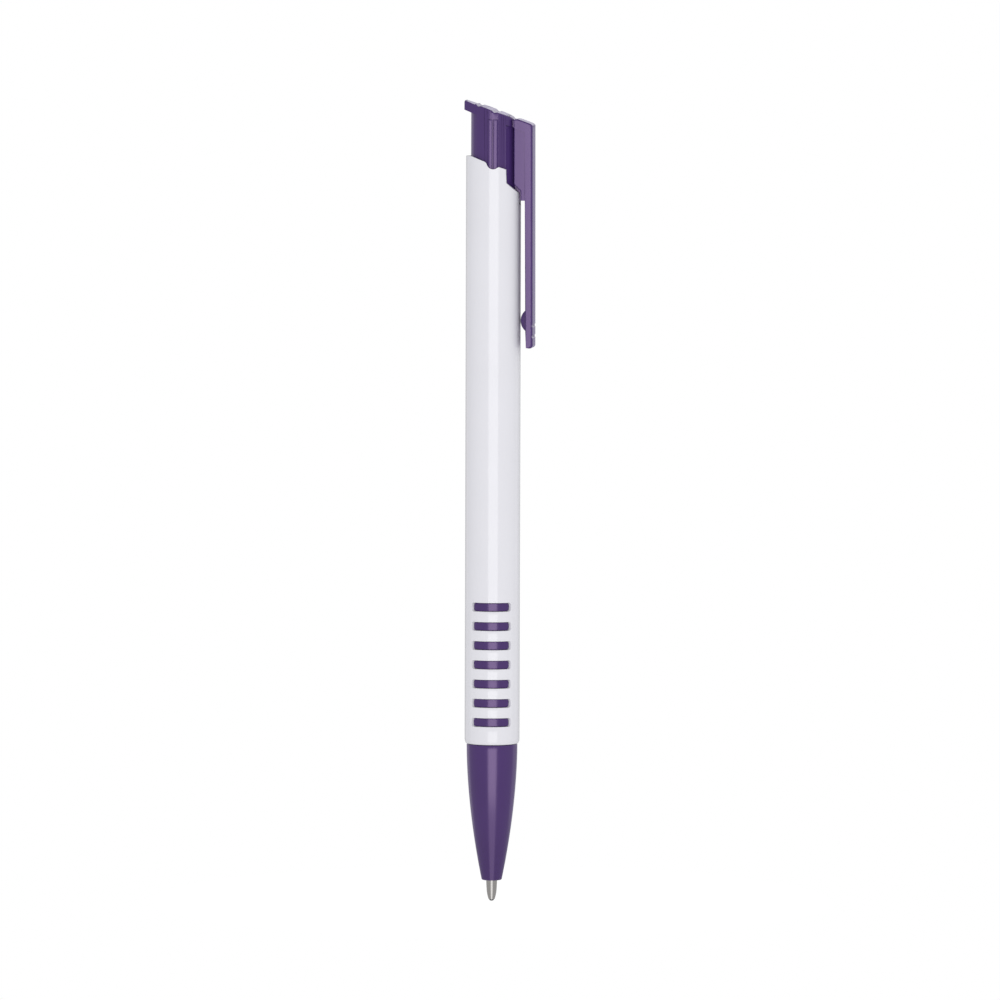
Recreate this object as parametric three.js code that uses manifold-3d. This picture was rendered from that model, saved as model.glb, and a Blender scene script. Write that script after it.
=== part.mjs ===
// Retractable ballpoint pen whose push button and pocket clip are one moulding.
// Millimetres, +Z up along the pen, origin at the lowest point of the writing ball, +X towards the clip.
// The pen is drawn as it writes: point out, button latched down.

import * as THREE from "three";
import { mergeVertices } from "three/addons/utils/BufferGeometryUtils.js";
import Module from "manifold-3d";

const wasm = await Module();
wasm.setup();

// Barrel
const BARREL_OVER_REFILL = 25.39;
const BARREL_RADIUS = 4.89;
const BARREL_WALL = 0.84;
const BARREL_END_ROUND = 0.36;
const BARREL_END_HEIGHT = 1;
const BARREL_TOP_SLANT = 17.7;

// Cut-outs at the top of the barrel
const THUMB_NOTCH_FLAT = 2.8;
const THUMB_NOTCH_DEPTH = 4.9;
const THUMB_NOTCH_SLOPE = 40;
const RIB_NOTCH_RADIUS = 1.08;
const RIB_NOTCH_DEPTH = 0.67;
const RIB_ANGLE = 84.8;

// Grip windows
const WINDOW_COUNT = 7;
const WINDOW_PITCH = 3.42;
const WINDOW_HEIGHT = 1.55;
const WINDOW_HALF_ANGLE = 46;
const WINDOW_CORNER = 0.3;
const WINDOW_RISE = 4.09;
const WINDOW_ANGLE = 86;
const PAD_RECESS = 0.5;
const SLEEVE_WALL = 0.75;
const SLEEVE_OVER_WINDOWS = 3;

// Nose
const NOSE_LENGTH = 24.3;
const NOSE_TOP_RADIUS = 4.47;
const NOSE_CURVE = 107;
const NOSE_MOUTH_ROUND = 0.3;
const SPRING_SEAT_ABOVE_MOUTH = 6;
const NOSE_CAVITY_RADIUS = 2;
const NOSE_CAVITY_LENGTH = 7.4;
const NOSE_CAVITY_FLARE = 0.6;
const SPIGOT_WALL = 0.6;
const SPIGOT_LENGTH = 6;

// Refill
const REFILL_LENGTH = 107;
const POINT_OUT = 3.64;
const BALL_RADIUS = 0.5;
const BALL_GAP = 0.03;
const SOCKET_RIM_HEIGHT = 0.32;
const POINT_RIM_WALL = 0.05;
const POINT_NECK_HEIGHT = 1;
const POINT_WAIST_RADIUS = 0.87;
const POINT_WAIST_HEIGHT = 1.9;
const POINT_STEP_RADIUS = 0.95;
const POINT_STEP_HEIGHT = 3.6;
const POINT_SHOULDER_HEIGHT = 0.5;
const POINT_RADIUS = 1.15;
const POINT_LENGTH = 10;
const POINT_SHANK_RADIUS = 0.85;
const POINT_SHANK_LENGTH = 4;
const INK_CHANNEL_RADIUS = 0.3;
const TUBE_RADIUS = 1.5;
const TUBE_WALL = 0.45;
const TUBE_START = 26.4;
const HOLDER_FLANGE = 0.8;
const HOLDER_PLUG_LENGTH = 4.5;
const INK_TOP = 92;
const FOLLOWER_LENGTH = 2.5;

// Spring
const WIRE_DIAMETER = 0.38;
const SPRING_MEAN_RADIUS = 1.5;
const ACTIVE_CURLS = 7;
const END_CURL_PITCH = 0.85;
const STEPS_PER_CURL = 8;
const WIRE_SIDES = 5;

// Click mechanism
const STROKE = 5;
const OVER_TRAVEL = 0.6;
const INDEX_ANGLE = 45;
const TOOTH_COUNT = 4;
const TOOTH_HALF_ANGLE = 14;
const TOOTH_HEIGHT = 4.2;
const TOOTH_PROUD = 0.8;
const ROTOR_RADIUS = 2.15;
const ROTOR_LENGTH = 5.8;
const ROTOR_SOCKET_DEPTH = 2.95;
const ROTOR_PIN_RADIUS = 0.9;
const ROTOR_PIN_LENGTH = 2.5;
const CROWN_TEETH = 8;
const CROWN_HEIGHT = 0.5;
const CROWN_INSET = 0.05;
const KEY_LENGTH = 6.2;
const GUIDE_LENGTH = 13;
const GUIDE_BELOW_ROTOR = 0.8;
const TOOTH_ABOVE_ROTOR_FOOT = 1.2;
const PLUG_RADIUS = 2.95;

// Push button and clip
const WEB_ABOVE_SKIRT = 1.94;
const STEM_FLOOR = 0.6;
const STEM_FLAT = 2.57;
const HEAD_RISE = 9.8;
const HEAD_SLANT = 20.3;
const HEAD_BACK_REACH = 5.05;
const HEAD_THICKNESS = 1.72;
const SCALLOP_COUNT = 3;
const SCALLOP_PITCH = 3.02;
const SCALLOP_FIRST = -2.4;
const SCALLOP_RADIUS = 0.55;
const SCALLOP_DEPTH = 0.28;
const RIB_WIDTH = 1.56;
const RIB_PROUD = 0.28;
const RIB_SPLIT = 0.2;
const BLOCK_INNER_X = 3.89;
const WEB_THICKNESS = 2;
const CLIP_WIDTH = 4.8;
const CLIP_THICKNESS = 1.16;
const CLIP_STANDOFF = 1.04;
const CLIP_FOOT_BELOW_TOP = 8.05;
const CLIP_EDGE_CHAMFER = 0.3;
const CLIP_LENGTH = 26.1;
const CLIP_END_ROUND = 0.55;
const CLIP_END_SLANT = 0.1;
const BUMP_ABOVE_END = 4.8;
const BUMP_RADIUS = 2.4;
const BUMP_WIDTH = 2.6;
const CLIP_GROOVE_ABOVE_END = [2.2, 4.1];
const CLIP_GROOVE_DEPTH = 0.18;

// How far joined shapes run into each other, and cutters past what they cut
const ROOT = 0.3;
const SPARE = 1;

// Clearances
const SLIDE_GAP = 0.09;
const FIT_GAP = 0.08;
const PAD_GAP = 0.08;
const FACE_GAP = 0.1;
const POINT_BORE_GAP = 0.12;
const RUN_GAP = 0.15;
const CAM_GAP = 0.25;
const STOP_GAP = 0.15;
const SIDE_GAP_ANGLE = 3;

// Places that follow from the sizes
const mouthZ = POINT_OUT;
const jointZ = mouthZ + NOSE_LENGTH;
const barrelTopZ = REFILL_LENGTH + BARREL_OVER_REFILL;
const boreRadius = BARREL_RADIUS - BARREL_WALL;
const stemRadius = boreRadius - SLIDE_GAP;
const fixedRadius = boreRadius - FIT_GAP;
const springSeatZ = mouthZ + SPRING_SEAT_ABOVE_MOUTH;
const flangeZ = TUBE_START - HOLDER_FLANGE;
const tubeBoreRadius = TUBE_RADIUS - TUBE_WALL;
const rotorBottomZ = REFILL_LENGTH + FACE_GAP - ROTOR_SOCKET_DEPTH;
const rotorTopZ = rotorBottomZ + ROTOR_LENGTH;
const toothOuterRadius = ROTOR_RADIUS + TOOTH_PROUD;
const toothBottomZ = rotorBottomZ + TOOTH_ABOVE_ROTOR_FOOT;
const crownGapZ = rotorTopZ + CROWN_HEIGHT + RUN_GAP;
const clipFootZ = barrelTopZ - CLIP_FOOT_BELOW_TOP;
const webBottomZ = clipFootZ;
const guideBottomZ = rotorBottomZ - GUIDE_BELOW_ROTOR;
const guideTopZ = guideBottomZ + GUIDE_LENGTH;
const stemBottomZ = guideTopZ + OVER_TRAVEL + STOP_GAP;
const skirtTopZ = webBottomZ - WEB_ABOVE_SKIRT;
const plugTopZ = skirtTopZ - STEM_FLOOR - FACE_GAP;
const clipInnerX = BARREL_RADIUS + CLIP_STANDOFF;
const clipFrontX = clipInnerX + CLIP_THICKNESS;
const clipEndZ = clipFootZ - CLIP_LENGTH;
const headBackZ = barrelTopZ + HEAD_RISE;
const windowFirstZ = jointZ + WINDOW_RISE;
const windowLastZ = windowFirstZ + (WINDOW_COUNT - 1) * WINDOW_PITCH;

const rad = THREE.MathUtils.degToRad;
const topSlope = Math.tan(rad(BARREL_TOP_SLANT));
const headSlope = Math.tan(rad(HEAD_SLANT));
const notchSlope = Math.tan(rad(THUMB_NOTCH_SLOPE));
const camSlope = STROKE / INDEX_ANGLE;

const flangeRadius = SPRING_MEAN_RADIUS + WIRE_DIAMETER / 2;
const fillRadius = tubeBoreRadius - FIT_GAP / 2;

// Height of the rotor's slanted tooth tops, which climb at the same rate as the rotor turns
const toothTopAt = (angle) => toothBottomZ + TOOTH_HEIGHT + camSlope * (angle - TOOTH_HALF_ANGLE);

// Heights of the barrel's top, the button's top and the notch floor, at a place across the pen
const barrelTopAt = (x) => barrelTopZ - topSlope * (x + BARREL_RADIUS);
const headTopAt = (x) => headBackZ - headSlope * (x + HEAD_BACK_REACH);
const notchKneeZ = barrelTopZ - THUMB_NOTCH_DEPTH;
const notchFloorAt = (x) => notchKneeZ - notchSlope * (x - THUMB_NOTCH_FLAT);
const ribNotchFloorZ = barrelTopAt(BARREL_RADIUS * Math.cos(rad(RIB_ANGLE))) - RIB_NOTCH_DEPTH;

// Guide ribs on the stem and the grooves that they run in
const ribRadius = stemRadius + RIB_PROUD;
const ribHalfAngle = THREE.MathUtils.radToDeg(RIB_WIDTH / 2 / ribRadius);
const ribBottomZ = skirtTopZ;

// Closed triangle mesh to solid and back
function toSolid(geometry) {
  const bare = geometry.clone();
  bare.deleteAttribute("normal");
  bare.deleteAttribute("uv");
  const merged = mergeVertices(bare, 1e-5);
  const corners = merged.index.array;
  const point = merged.attributes.position;
  const kept = [];
  let volume = 0;
  for (let i = 0; i < corners.length; i += 3) {
    const [a, b, c] = [corners[i], corners[i + 1], corners[i + 2]];
    if (a === b || b === c || c === a) continue;
    kept.push(a, b, c);
    const pa = new THREE.Vector3().fromBufferAttribute(point, a);
    const pb = new THREE.Vector3().fromBufferAttribute(point, b);
    const pc = new THREE.Vector3().fromBufferAttribute(point, c);
    volume += pa.dot(pb.cross(pc));
  }
  if (volume < 0) kept.reverse();
  return new wasm.Manifold(new wasm.Mesh({
    numProp: 3,
    vertProperties: new Float32Array(point.array),
    triVerts: new Uint32Array(kept),
  }));
}

function toGeometry(solid) {
  const mesh = solid.getMesh();
  const geometry = new THREE.BufferGeometry();
  geometry.setAttribute("position", new THREE.BufferAttribute(new Float32Array(mesh.vertProperties), 3));
  geometry.setIndex(new THREE.BufferAttribute(new Uint32Array(mesh.triVerts), 1));
  return geometry;
}

// Body of revolution about the pen's axis, from [radius, height] pairs
function turned(profile, sides = 48) {
  const points = profile.map(([r, z]) => new THREE.Vector2(r, z));
  return toSolid(new THREE.LatheGeometry(points, sides).rotateX(Math.PI / 2));
}

// Tube or rod between two heights
function ring(inner, outer, low, high, sides = 48) {
  if (inner <= 0) return turned([[0, low], [outer, low], [outer, high], [0, high]], sides);
  return turned([[inner, low], [outer, low], [outer, high], [inner, high], [inner, low]], sides);
}

// Side outline in X and Z, given its full width across Y
function sideCut(shape, width, curveSegments = 8) {
  const extrusion = new THREE.ExtrudeGeometry(shape, { depth: width, bevelEnabled: false, curveSegments });
  return toSolid(extrusion.rotateX(Math.PI / 2).translate(0, width / 2, 0));
}

// Outline in plan, X and Y, between two heights
function planCut(shape, low, high, curveSegments = 8) {
  const extrusion = new THREE.ExtrudeGeometry(shape, { depth: high - low, bevelEnabled: false, curveSegments });
  return toSolid(extrusion.translate(0, 0, low));
}

function polygon(points) {
  return new THREE.Shape(points.map(([x, y]) => new THREE.Vector2(x, y)));
}

function block(x0, x1, width, z0, z1) {
  const box = new THREE.BoxGeometry(x1 - x0, width, z1 - z0);
  return toSolid(box.translate((x0 + x1) / 2, 0, (z0 + z1) / 2));
}

// Wall segment round the axis: stations are [angle in degrees, low z, high z]
function sector(inner, outer, stations) {
  const vertices = [];
  const triangles = [];
  for (const [angle, low, high] of stations) {
    const [c, s] = [Math.cos(rad(angle)), Math.sin(rad(angle))];
    vertices.push(inner * c, inner * s, low, outer * c, outer * s, low);
    vertices.push(outer * c, outer * s, high, inner * c, inner * s, high);
  }
  for (let i = 0; i + 1 < stations.length; i++) {
    for (let side = 0; side < 4; side++) {
      const a = i * 4 + side;
      const b = i * 4 + (side + 1) % 4;
      triangles.push(a, b, b + 4, a, b + 4, a + 4);
    }
  }
  const last = (stations.length - 1) * 4;
  triangles.push(0, 2, 1, 0, 3, 2, last, last + 1, last + 2, last, last + 2, last + 3);
  const geometry = new THREE.BufferGeometry();
  geometry.setAttribute("position", new THREE.BufferAttribute(new Float32Array(vertices), 3));
  geometry.setIndex(triangles);
  return toSolid(geometry);
}

// Evenly spaced stations between two angles, with heights from two functions of the angle
function stations(from, to, lowAt, highAt, step = 6) {
  const count = Math.max(1, Math.ceil((to - from) / step));
  return Array.from({ length: count + 1 }, (_, i) => {
    const angle = from + ((to - from) * i) / count;
    return [angle, lowAt(angle), highAt(angle)];
  });
}

// Window-shaped wall segment with rounded corners, centred at an angle round the axis
function windowSector(inner, outer, centreAngle, centreZ, trim) {
  const half = WINDOW_HEIGHT / 2 - trim;
  const corner = WINDOW_CORNER - trim / 2;
  const degrees = THREE.MathUtils.radToDeg(1 / BARREL_RADIUS);
  const halfAngle = WINDOW_HALF_ANGLE - trim * degrees;
  const heights = [0, 0.3, 1].map((t) => {
    const away = corner * (1 - t);
    return [halfAngle - corner * t * degrees, half - corner + Math.sqrt(corner ** 2 - away ** 2)];
  });
  const inside = halfAngle - corner * degrees;
  const flatSteps = 6;
  const row = heights.slice(0, 2).map(([a, h]) => [centreAngle - a, centreZ - h, centreZ + h]);
  for (let i = 0; i <= flatSteps; i++) {
    row.push([centreAngle - inside + (2 * inside * i) / flatSteps, centreZ - half, centreZ + half]);
  }
  row.push(...heights.slice(0, 2).reverse().map(([a, h]) => [centreAngle + a, centreZ - h, centreZ + h]));
  return sector(inner, outer, row);
}

// The same solid at the windows' two rows and seven heights
function windowRows(inner, outer, trim) {
  const found = [];
  for (const side of [-1, 1]) {
    for (let i = 0; i < WINDOW_COUNT; i++) {
      found.push(windowSector(inner, outer, side * WINDOW_ANGLE, windowFirstZ + i * WINDOW_PITCH, trim));
    }
  }
  return found;
}

const addAll = (first, others) => others.reduce((sum, other) => sum.add(other), first);
const cutAll = (first, others) => others.reduce((sum, other) => sum.subtract(other), first);

// Copies of a solid evenly spaced round the axis
function around(solid, count) {
  return Array.from({ length: count }, (_, i) => solid.rotate([0, 0, (360 * i) / count]));
}

// Quarter round from one [radius, height] corner point to another
function quarterRound(centre, radiusR, radiusZ, fromDegrees, toDegrees, count = 5) {
  return Array.from({ length: count + 1 }, (_, i) => {
    const t = rad(fromDegrees + ((toDegrees - fromDegrees) * i) / count);
    return [centre[0] + radiusR * Math.cos(t), centre[1] + radiusZ * Math.sin(t)];
  });
}

// Barrel: tube with a rounded lower end, grip windows and the cut-outs that let the button and clip slide
function barrel() {
  const lowerEnd = quarterRound([BARREL_RADIUS - BARREL_END_ROUND, jointZ + BARREL_END_HEIGHT],
    BARREL_END_ROUND, BARREL_END_HEIGHT, -90, 0);
  const tallZ = barrelTopZ + SPARE;
  const reach = BARREL_RADIUS + SPARE;
  const tube = turned([[boreRadius, jointZ], ...lowerEnd, [BARREL_RADIUS, tallZ], [boreRadius, tallZ],
    [boreRadius, jointZ]]);
  const slant = polygon([[-reach, barrelTopAt(-reach)], [reach, barrelTopAt(reach)],
    [reach, tallZ + reach], [-reach, tallZ + reach]]);
  const notch = polygon([[THUMB_NOTCH_FLAT, notchKneeZ], [reach, notchFloorAt(reach)],
    [reach, tallZ], [THUMB_NOTCH_FLAT, tallZ]]);
  const slot = block(0, reach, WEB_THICKNESS + 2 * RUN_GAP, webBottomZ - OVER_TRAVEL - STOP_GAP, tallZ);
  const mouth = new THREE.CylinderGeometry(RIB_NOTCH_RADIUS, RIB_NOTCH_RADIUS, reach, 24);
  const mouthCentreZ = ribNotchFloorZ + RIB_NOTCH_RADIUS;
  const ribMouth = toSolid(mouth.rotateZ(Math.PI / 2).translate(reach / 2, 0, mouthCentreZ))
    .add(block(0, reach, 2 * RIB_NOTCH_RADIUS, mouthCentreZ, tallZ));
  const grooveHalf = ribHalfAngle + SIDE_GAP_ANGLE;
  const groove = sector(boreRadius - ROOT, ribRadius + SLIDE_GAP,
    stations(-grooveHalf, grooveHalf, () => ribBottomZ - OVER_TRAVEL - STOP_GAP, () => tallZ));
  const sides = [-RIB_ANGLE, RIB_ANGLE].flatMap((angle) => [
    ribMouth.rotate([0, 0, angle]),
    groove.rotate([0, 0, angle]),
  ]);
  const windows = windowRows(boreRadius - SPARE, BARREL_RADIUS + SPARE, 0);
  return cutAll(tube, [sideCut(slant, 4 * reach), sideCut(notch, 2 * reach), slot, ...sides, ...windows]);
}

// Liner of the grip: a sleeve in the barrel whose raised pads fill the windows
function gripSleeve() {
  const sleeveTop = windowLastZ + SLEEVE_OVER_WINDOWS;
  const sleeve = ring(fixedRadius - SLEEVE_WALL, fixedRadius, jointZ + FACE_GAP, sleeveTop);
  const pads = windowRows(fixedRadius - SLEEVE_WALL / 2, BARREL_RADIUS - PAD_RECESS, PAD_GAP);
  return addAll(sleeve, pads);
}

// Nose: pointed shell with a spring seat inside and a spigot that holds it in the grip sleeve
function noseCone() {
  const top = jointZ - FACE_GAP;
  const outerAt = (z) => NOSE_TOP_RADIUS - (NOSE_CURVE - Math.sqrt(NOSE_CURVE ** 2 - (jointZ - z) ** 2));
  const mouthRadius = POINT_RADIUS + POINT_BORE_GAP;
  const steps = 9;
  const outline = Array.from({ length: steps + 1 }, (_, i) => {
    const z = mouthZ + NOSE_MOUTH_ROUND + ((top - mouthZ - NOSE_MOUTH_ROUND) * i) / steps;
    return [outerAt(z), z];
  });
  const [mouthOuter, lipZ] = outline[0];
  const lip = quarterRound([mouthOuter - NOSE_MOUTH_ROUND, lipZ],
    NOSE_MOUTH_ROUND, NOSE_MOUTH_ROUND, -90, -10, 3);
  const spigotRadius = fixedRadius - SLEEVE_WALL - FIT_GAP;
  const spigotTop = jointZ + SPIGOT_LENGTH;
  const wide = spigotRadius - SPIGOT_WALL;
  const cavityTop = springSeatZ + NOSE_CAVITY_LENGTH;
  return turned([
    [mouthRadius, mouthZ], ...lip, ...outline,
    [spigotRadius, top], [spigotRadius, spigotTop], [wide, spigotTop],
    [wide, cavityTop + NOSE_CAVITY_FLARE], [NOSE_CAVITY_RADIUS, cavityTop],
    [NOSE_CAVITY_RADIUS, springSeatZ], [mouthRadius, springSeatZ], [mouthRadius, mouthZ],
  ]);
}

// Metal writing point: tapered tip with a ball socket, an ink channel and a shank
function refillPoint() {
  const socket = BALL_RADIUS + BALL_GAP;
  const rimAngle = Math.asin((BALL_RADIUS - SOCKET_RIM_HEIGHT) / socket);
  const arc = quarterRound([0, BALL_RADIUS], socket, socket, -THREE.MathUtils.radToDeg(rimAngle), 50, 6);
  const rim = arc[0];
  const channelStart = BALL_RADIUS + socket;
  const top = POINT_LENGTH + POINT_SHANK_LENGTH;
  return turned([
    rim, [rim[0] + POINT_RIM_WALL, rim[1]], [(POINT_WAIST_RADIUS + rim[0]) / 2, POINT_NECK_HEIGHT],
    [POINT_WAIST_RADIUS, POINT_WAIST_HEIGHT], [POINT_STEP_RADIUS, POINT_STEP_HEIGHT],
    [POINT_RADIUS, POINT_STEP_HEIGHT + POINT_SHOULDER_HEIGHT], [POINT_RADIUS, POINT_LENGTH],
    [POINT_SHANK_RADIUS, POINT_LENGTH], [POINT_SHANK_RADIUS, top],
    [INK_CHANNEL_RADIUS, top], [INK_CHANNEL_RADIUS, channelStart], ...arc.slice().reverse(),
  ], 24);
}

function writingBall() {
  return toSolid(new THREE.SphereGeometry(BALL_RADIUS, 16, 10).translate(0, 0, BALL_RADIUS));
}

// Plastic holder between the point and the ink tube, with the flange that the spring pushes on
function tipHolder() {
  const socket = POINT_SHANK_RADIUS + FIT_GAP / 2;
  const socketTop = POINT_LENGTH + POINT_SHANK_LENGTH + FACE_GAP;
  const plug = tubeBoreRadius - FIT_GAP / 2;
  const top = TUBE_START + HOLDER_PLUG_LENGTH;
  return turned([
    [socket, POINT_LENGTH + FACE_GAP], [POINT_RADIUS, POINT_LENGTH + FACE_GAP], [POINT_RADIUS, flangeZ],
    [flangeRadius, flangeZ], [flangeRadius, TUBE_START - FACE_GAP], [plug, TUBE_START - FACE_GAP], [plug, top],
    [INK_CHANNEL_RADIUS, top], [INK_CHANNEL_RADIUS, socketTop], [socket, socketTop],
    [socket, POINT_LENGTH + FACE_GAP],
  ], 32);
}

const refillTube = () => ring(tubeBoreRadius, TUBE_RADIUS, TUBE_START, REFILL_LENGTH, 32);
const inkColumn = () => ring(0, fillRadius, TUBE_START + HOLDER_PLUG_LENGTH + FACE_GAP, INK_TOP, 32);
const greasePlug = () => ring(0, fillRadius, INK_TOP + FACE_GAP, INK_TOP + FACE_GAP + FOLLOWER_LENGTH, 32);

// Return spring: one wire whose end curls lie closer than the working ones
function springPath() {
  const low = springSeatZ + WIRE_DIAMETER / 2 + FACE_GAP;
  const high = flangeZ - WIRE_DIAMETER / 2 - FACE_GAP;
  const pitch = (high - low - 2 * END_CURL_PITCH) / ACTIVE_CURLS;
  const curls = ACTIVE_CURLS + 2;
  return Array.from({ length: curls * STEPS_PER_CURL + 1 }, (_, i) => {
    const turns = i / STEPS_PER_CURL;
    const endTurns = Math.min(turns, 1) + Math.max(turns - curls + 1, 0);
    const angle = turns * 2 * Math.PI;
    const z = low + endTurns * END_CURL_PITCH + (turns - endTurns) * pitch;
    return new THREE.Vector3(SPRING_MEAN_RADIUS * Math.cos(angle), SPRING_MEAN_RADIUS * Math.sin(angle), z);
  });
}

function wireSpring() {
  const path = springPath();
  const vertices = [];
  const triangles = [];
  const radius = WIRE_DIAMETER / 2;
  path.forEach((centre) => {
    const out = new THREE.Vector3(centre.x, centre.y, 0).normalize();
    for (let k = 0; k < WIRE_SIDES; k++) {
      const t = (2 * Math.PI * k) / WIRE_SIDES;
      const p = centre.clone().addScaledVector(out, radius * Math.cos(t));
      vertices.push(p.x, p.y, p.z + radius * Math.sin(t));
    }
  });
  for (let i = 0; i + 1 < path.length; i++) {
    for (let k = 0; k < WIRE_SIDES; k++) {
      const a = i * WIRE_SIDES + k;
      const b = i * WIRE_SIDES + (k + 1) % WIRE_SIDES;
      triangles.push(a, b, b + WIRE_SIDES, a, b + WIRE_SIDES, a + WIRE_SIDES);
    }
  }
  const last = (path.length - 1) * WIRE_SIDES;
  for (let k = 1; k + 1 < WIRE_SIDES; k++) {
    triangles.push(0, k + 1, k, last, last + k, last + k + 1);
  }
  const geometry = new THREE.BufferGeometry();
  geometry.setAttribute("position", new THREE.BufferAttribute(new Float32Array(vertices), 3));
  geometry.setIndex(triangles);
  return toSolid(geometry);
}

// Smallest distance between the wire and its own next curl, measured on the path's points
function leastGap(path, diameter) {
  let least = Infinity;
  path.forEach((a, i) => {
    for (let j = i + STEPS_PER_CURL - 2; j < path.length; j++) {
      least = Math.min(least, a.distanceTo(path[j]) - diameter);
    }
  });
  return least;
}

// Ratchet teeth round a face: each rises over its share of the circle, then drops
function crown(inner, outer, count, baseZ, height, direction) {
  const share = 360 / count;
  const heightAt = (angle) => (height * angle) / share;
  const base = baseZ - direction * ROOT;
  const lowAt = (angle) => (direction > 0 ? base : baseZ - heightAt(angle));
  const highAt = (angle) => (direction > 0 ? baseZ + heightAt(angle) : base);
  const tooth = sector(inner, outer, stations(0, share, lowAt, highAt, 15));
  return around(tooth, count);
}

// Rotor of the click mechanism: capped on to the ink tube, with teeth that climb the guide's ramps
function camRotor() {
  const socketRadius = TUBE_RADIUS + FIT_GAP;
  const pinTop = rotorTopZ + ROTOR_PIN_LENGTH;
  const body = turned([
    [socketRadius, rotorBottomZ], [ROTOR_RADIUS, rotorBottomZ], [ROTOR_RADIUS, rotorTopZ],
    [ROTOR_PIN_RADIUS, rotorTopZ], [ROTOR_PIN_RADIUS, pinTop], [0, pinTop],
    [0, rotorBottomZ + ROTOR_SOCKET_DEPTH], [socketRadius, rotorBottomZ + ROTOR_SOCKET_DEPTH],
    [socketRadius, rotorBottomZ],
  ]);
  const tooth = sector(ROTOR_RADIUS - ROOT, toothOuterRadius,
    stations(-TOOTH_HALF_ANGLE, TOOTH_HALF_ANGLE, () => toothBottomZ, toothTopAt, 7));
  const face = crown(ROTOR_PIN_RADIUS, ROTOR_RADIUS - CROWN_INSET, CROWN_TEETH, rotorTopZ, CROWN_HEIGHT, 1);
  return addAll(body, [...around(tooth, TOOTH_COUNT), ...face]);
}

// Guide pressed into the barrel: ribs with long ramps between straight slots
function camGuide() {
  const sleeveInner = toothOuterRadius + RUN_GAP;
  const ribInner = ROTOR_RADIUS + RUN_GAP;
  const sleeve = ring(sleeveInner, fixedRadius, guideBottomZ, guideTopZ);
  const slotHalf = TOOTH_HALF_ANGLE + SIDE_GAP_ANGLE;
  const ribStart = slotHalf - INDEX_ANGLE;
  const ribEnd = INDEX_ANGLE - slotHalf;
  const fingerEnd = -slotHalf - OVER_TRAVEL / camSlope;
  const rampAt = (angle) => toothTopAt(angle) + CAM_GAP;
  const ramp = sector(ribInner, sleeveInner + ROOT, stations(ribStart, ribEnd, rampAt, () => guideTopZ));
  const finger = sector(ribInner, sleeveInner + ROOT,
    stations(ribStart, fingerEnd, () => toothBottomZ, () => guideTopZ));
  return addAll(sleeve, [...around(ramp, TOOTH_COUNT), ...around(finger, TOOTH_COUNT)]);
}

// Plunger pressed into the button: a rod with ratchet teeth below and keys that run in the guide's slots
function plunger() {
  const pinBore = ROTOR_PIN_RADIUS + RUN_GAP;
  const boreTop = rotorTopZ + ROTOR_PIN_LENGTH + CROWN_HEIGHT + RUN_GAP;
  const rodBottom = crownGapZ + CROWN_HEIGHT;
  const body = turned([
    [pinBore, rodBottom], [ROTOR_RADIUS, rodBottom], [ROTOR_RADIUS, stemBottomZ], [PLUG_RADIUS, stemBottomZ],
    [PLUG_RADIUS, plugTopZ], [0, plugTopZ], [0, boreTop], [pinBore, boreTop],
    [pinBore, rodBottom],
  ]);
  const keyBottom = toothTopAt(TOOTH_HALF_ANGLE) + CAM_GAP;
  const key = sector(ROTOR_RADIUS - ROOT, toothOuterRadius,
    stations(INDEX_ANGLE - TOOTH_HALF_ANGLE, INDEX_ANGLE + TOOTH_HALF_ANGLE,
      () => Math.max(keyBottom, rodBottom), () => keyBottom + KEY_LENGTH, 7));
  const teeth = crown(pinBore, ROTOR_RADIUS - CROWN_INSET, CROWN_TEETH, rodBottom, CROWN_HEIGHT, -1);
  return addAll(body, [...around(key, TOOTH_COUNT), ...teeth]);
}

// Side outline of the head, the block that carries the clip and the clip, as one bar
function barOutline() {
  const underHead = (x) => headTopAt(x) - HEAD_THICKNESS;
  const blockFloorAt = (x) => notchFloorAt(x) + OVER_TRAVEL + STOP_GAP;
  const footX = BARREL_RADIUS + RUN_GAP;
  const shape = new THREE.Shape();
  shape.moveTo(-HEAD_BACK_REACH, headTopAt(-HEAD_BACK_REACH));
  shape.lineTo(-HEAD_BACK_REACH, underHead(-HEAD_BACK_REACH));
  shape.lineTo(BLOCK_INNER_X, underHead(BLOCK_INNER_X));
  shape.lineTo(BLOCK_INNER_X, blockFloorAt(BLOCK_INNER_X));
  shape.lineTo(footX, blockFloorAt(footX));
  shape.lineTo(footX, clipFootZ);
  shape.lineTo(clipInnerX, clipFootZ);
  shape.lineTo(clipInnerX, clipEndZ + CLIP_END_SLANT);
  shape.lineTo(clipFrontX - CLIP_END_ROUND, clipEndZ);
  shape.absarc(clipFrontX - CLIP_END_ROUND, clipEndZ + CLIP_END_ROUND, CLIP_END_ROUND, -Math.PI / 2, 0);
  shape.lineTo(clipFrontX, headTopAt(clipFrontX));
  return shape;
}

// Plan outline of that bar, with its front edges chamfered and its back corners rounded
function barPlan() {
  const half = CLIP_WIDTH / 2;
  const corner = half / 3;
  const shape = new THREE.Shape();
  shape.moveTo(clipFrontX - CLIP_EDGE_CHAMFER, -half);
  shape.lineTo(clipFrontX, -half + CLIP_EDGE_CHAMFER);
  shape.lineTo(clipFrontX, half - CLIP_EDGE_CHAMFER);
  shape.lineTo(clipFrontX - CLIP_EDGE_CHAMFER, half);
  shape.lineTo(corner - HEAD_BACK_REACH, half);
  shape.absarc(corner - HEAD_BACK_REACH, half - corner, corner, Math.PI / 2, Math.PI);
  shape.absarc(corner - HEAD_BACK_REACH, corner - half, corner, Math.PI, 1.5 * Math.PI);
  return shape;
}

// Rod across the pen, for scallops, grooves and the clip's bump
function crossRod(x, z, radius, width, sides = 32) {
  return toSolid(new THREE.CylinderGeometry(radius, radius, width, sides).translate(x, 0, z));
}

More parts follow.
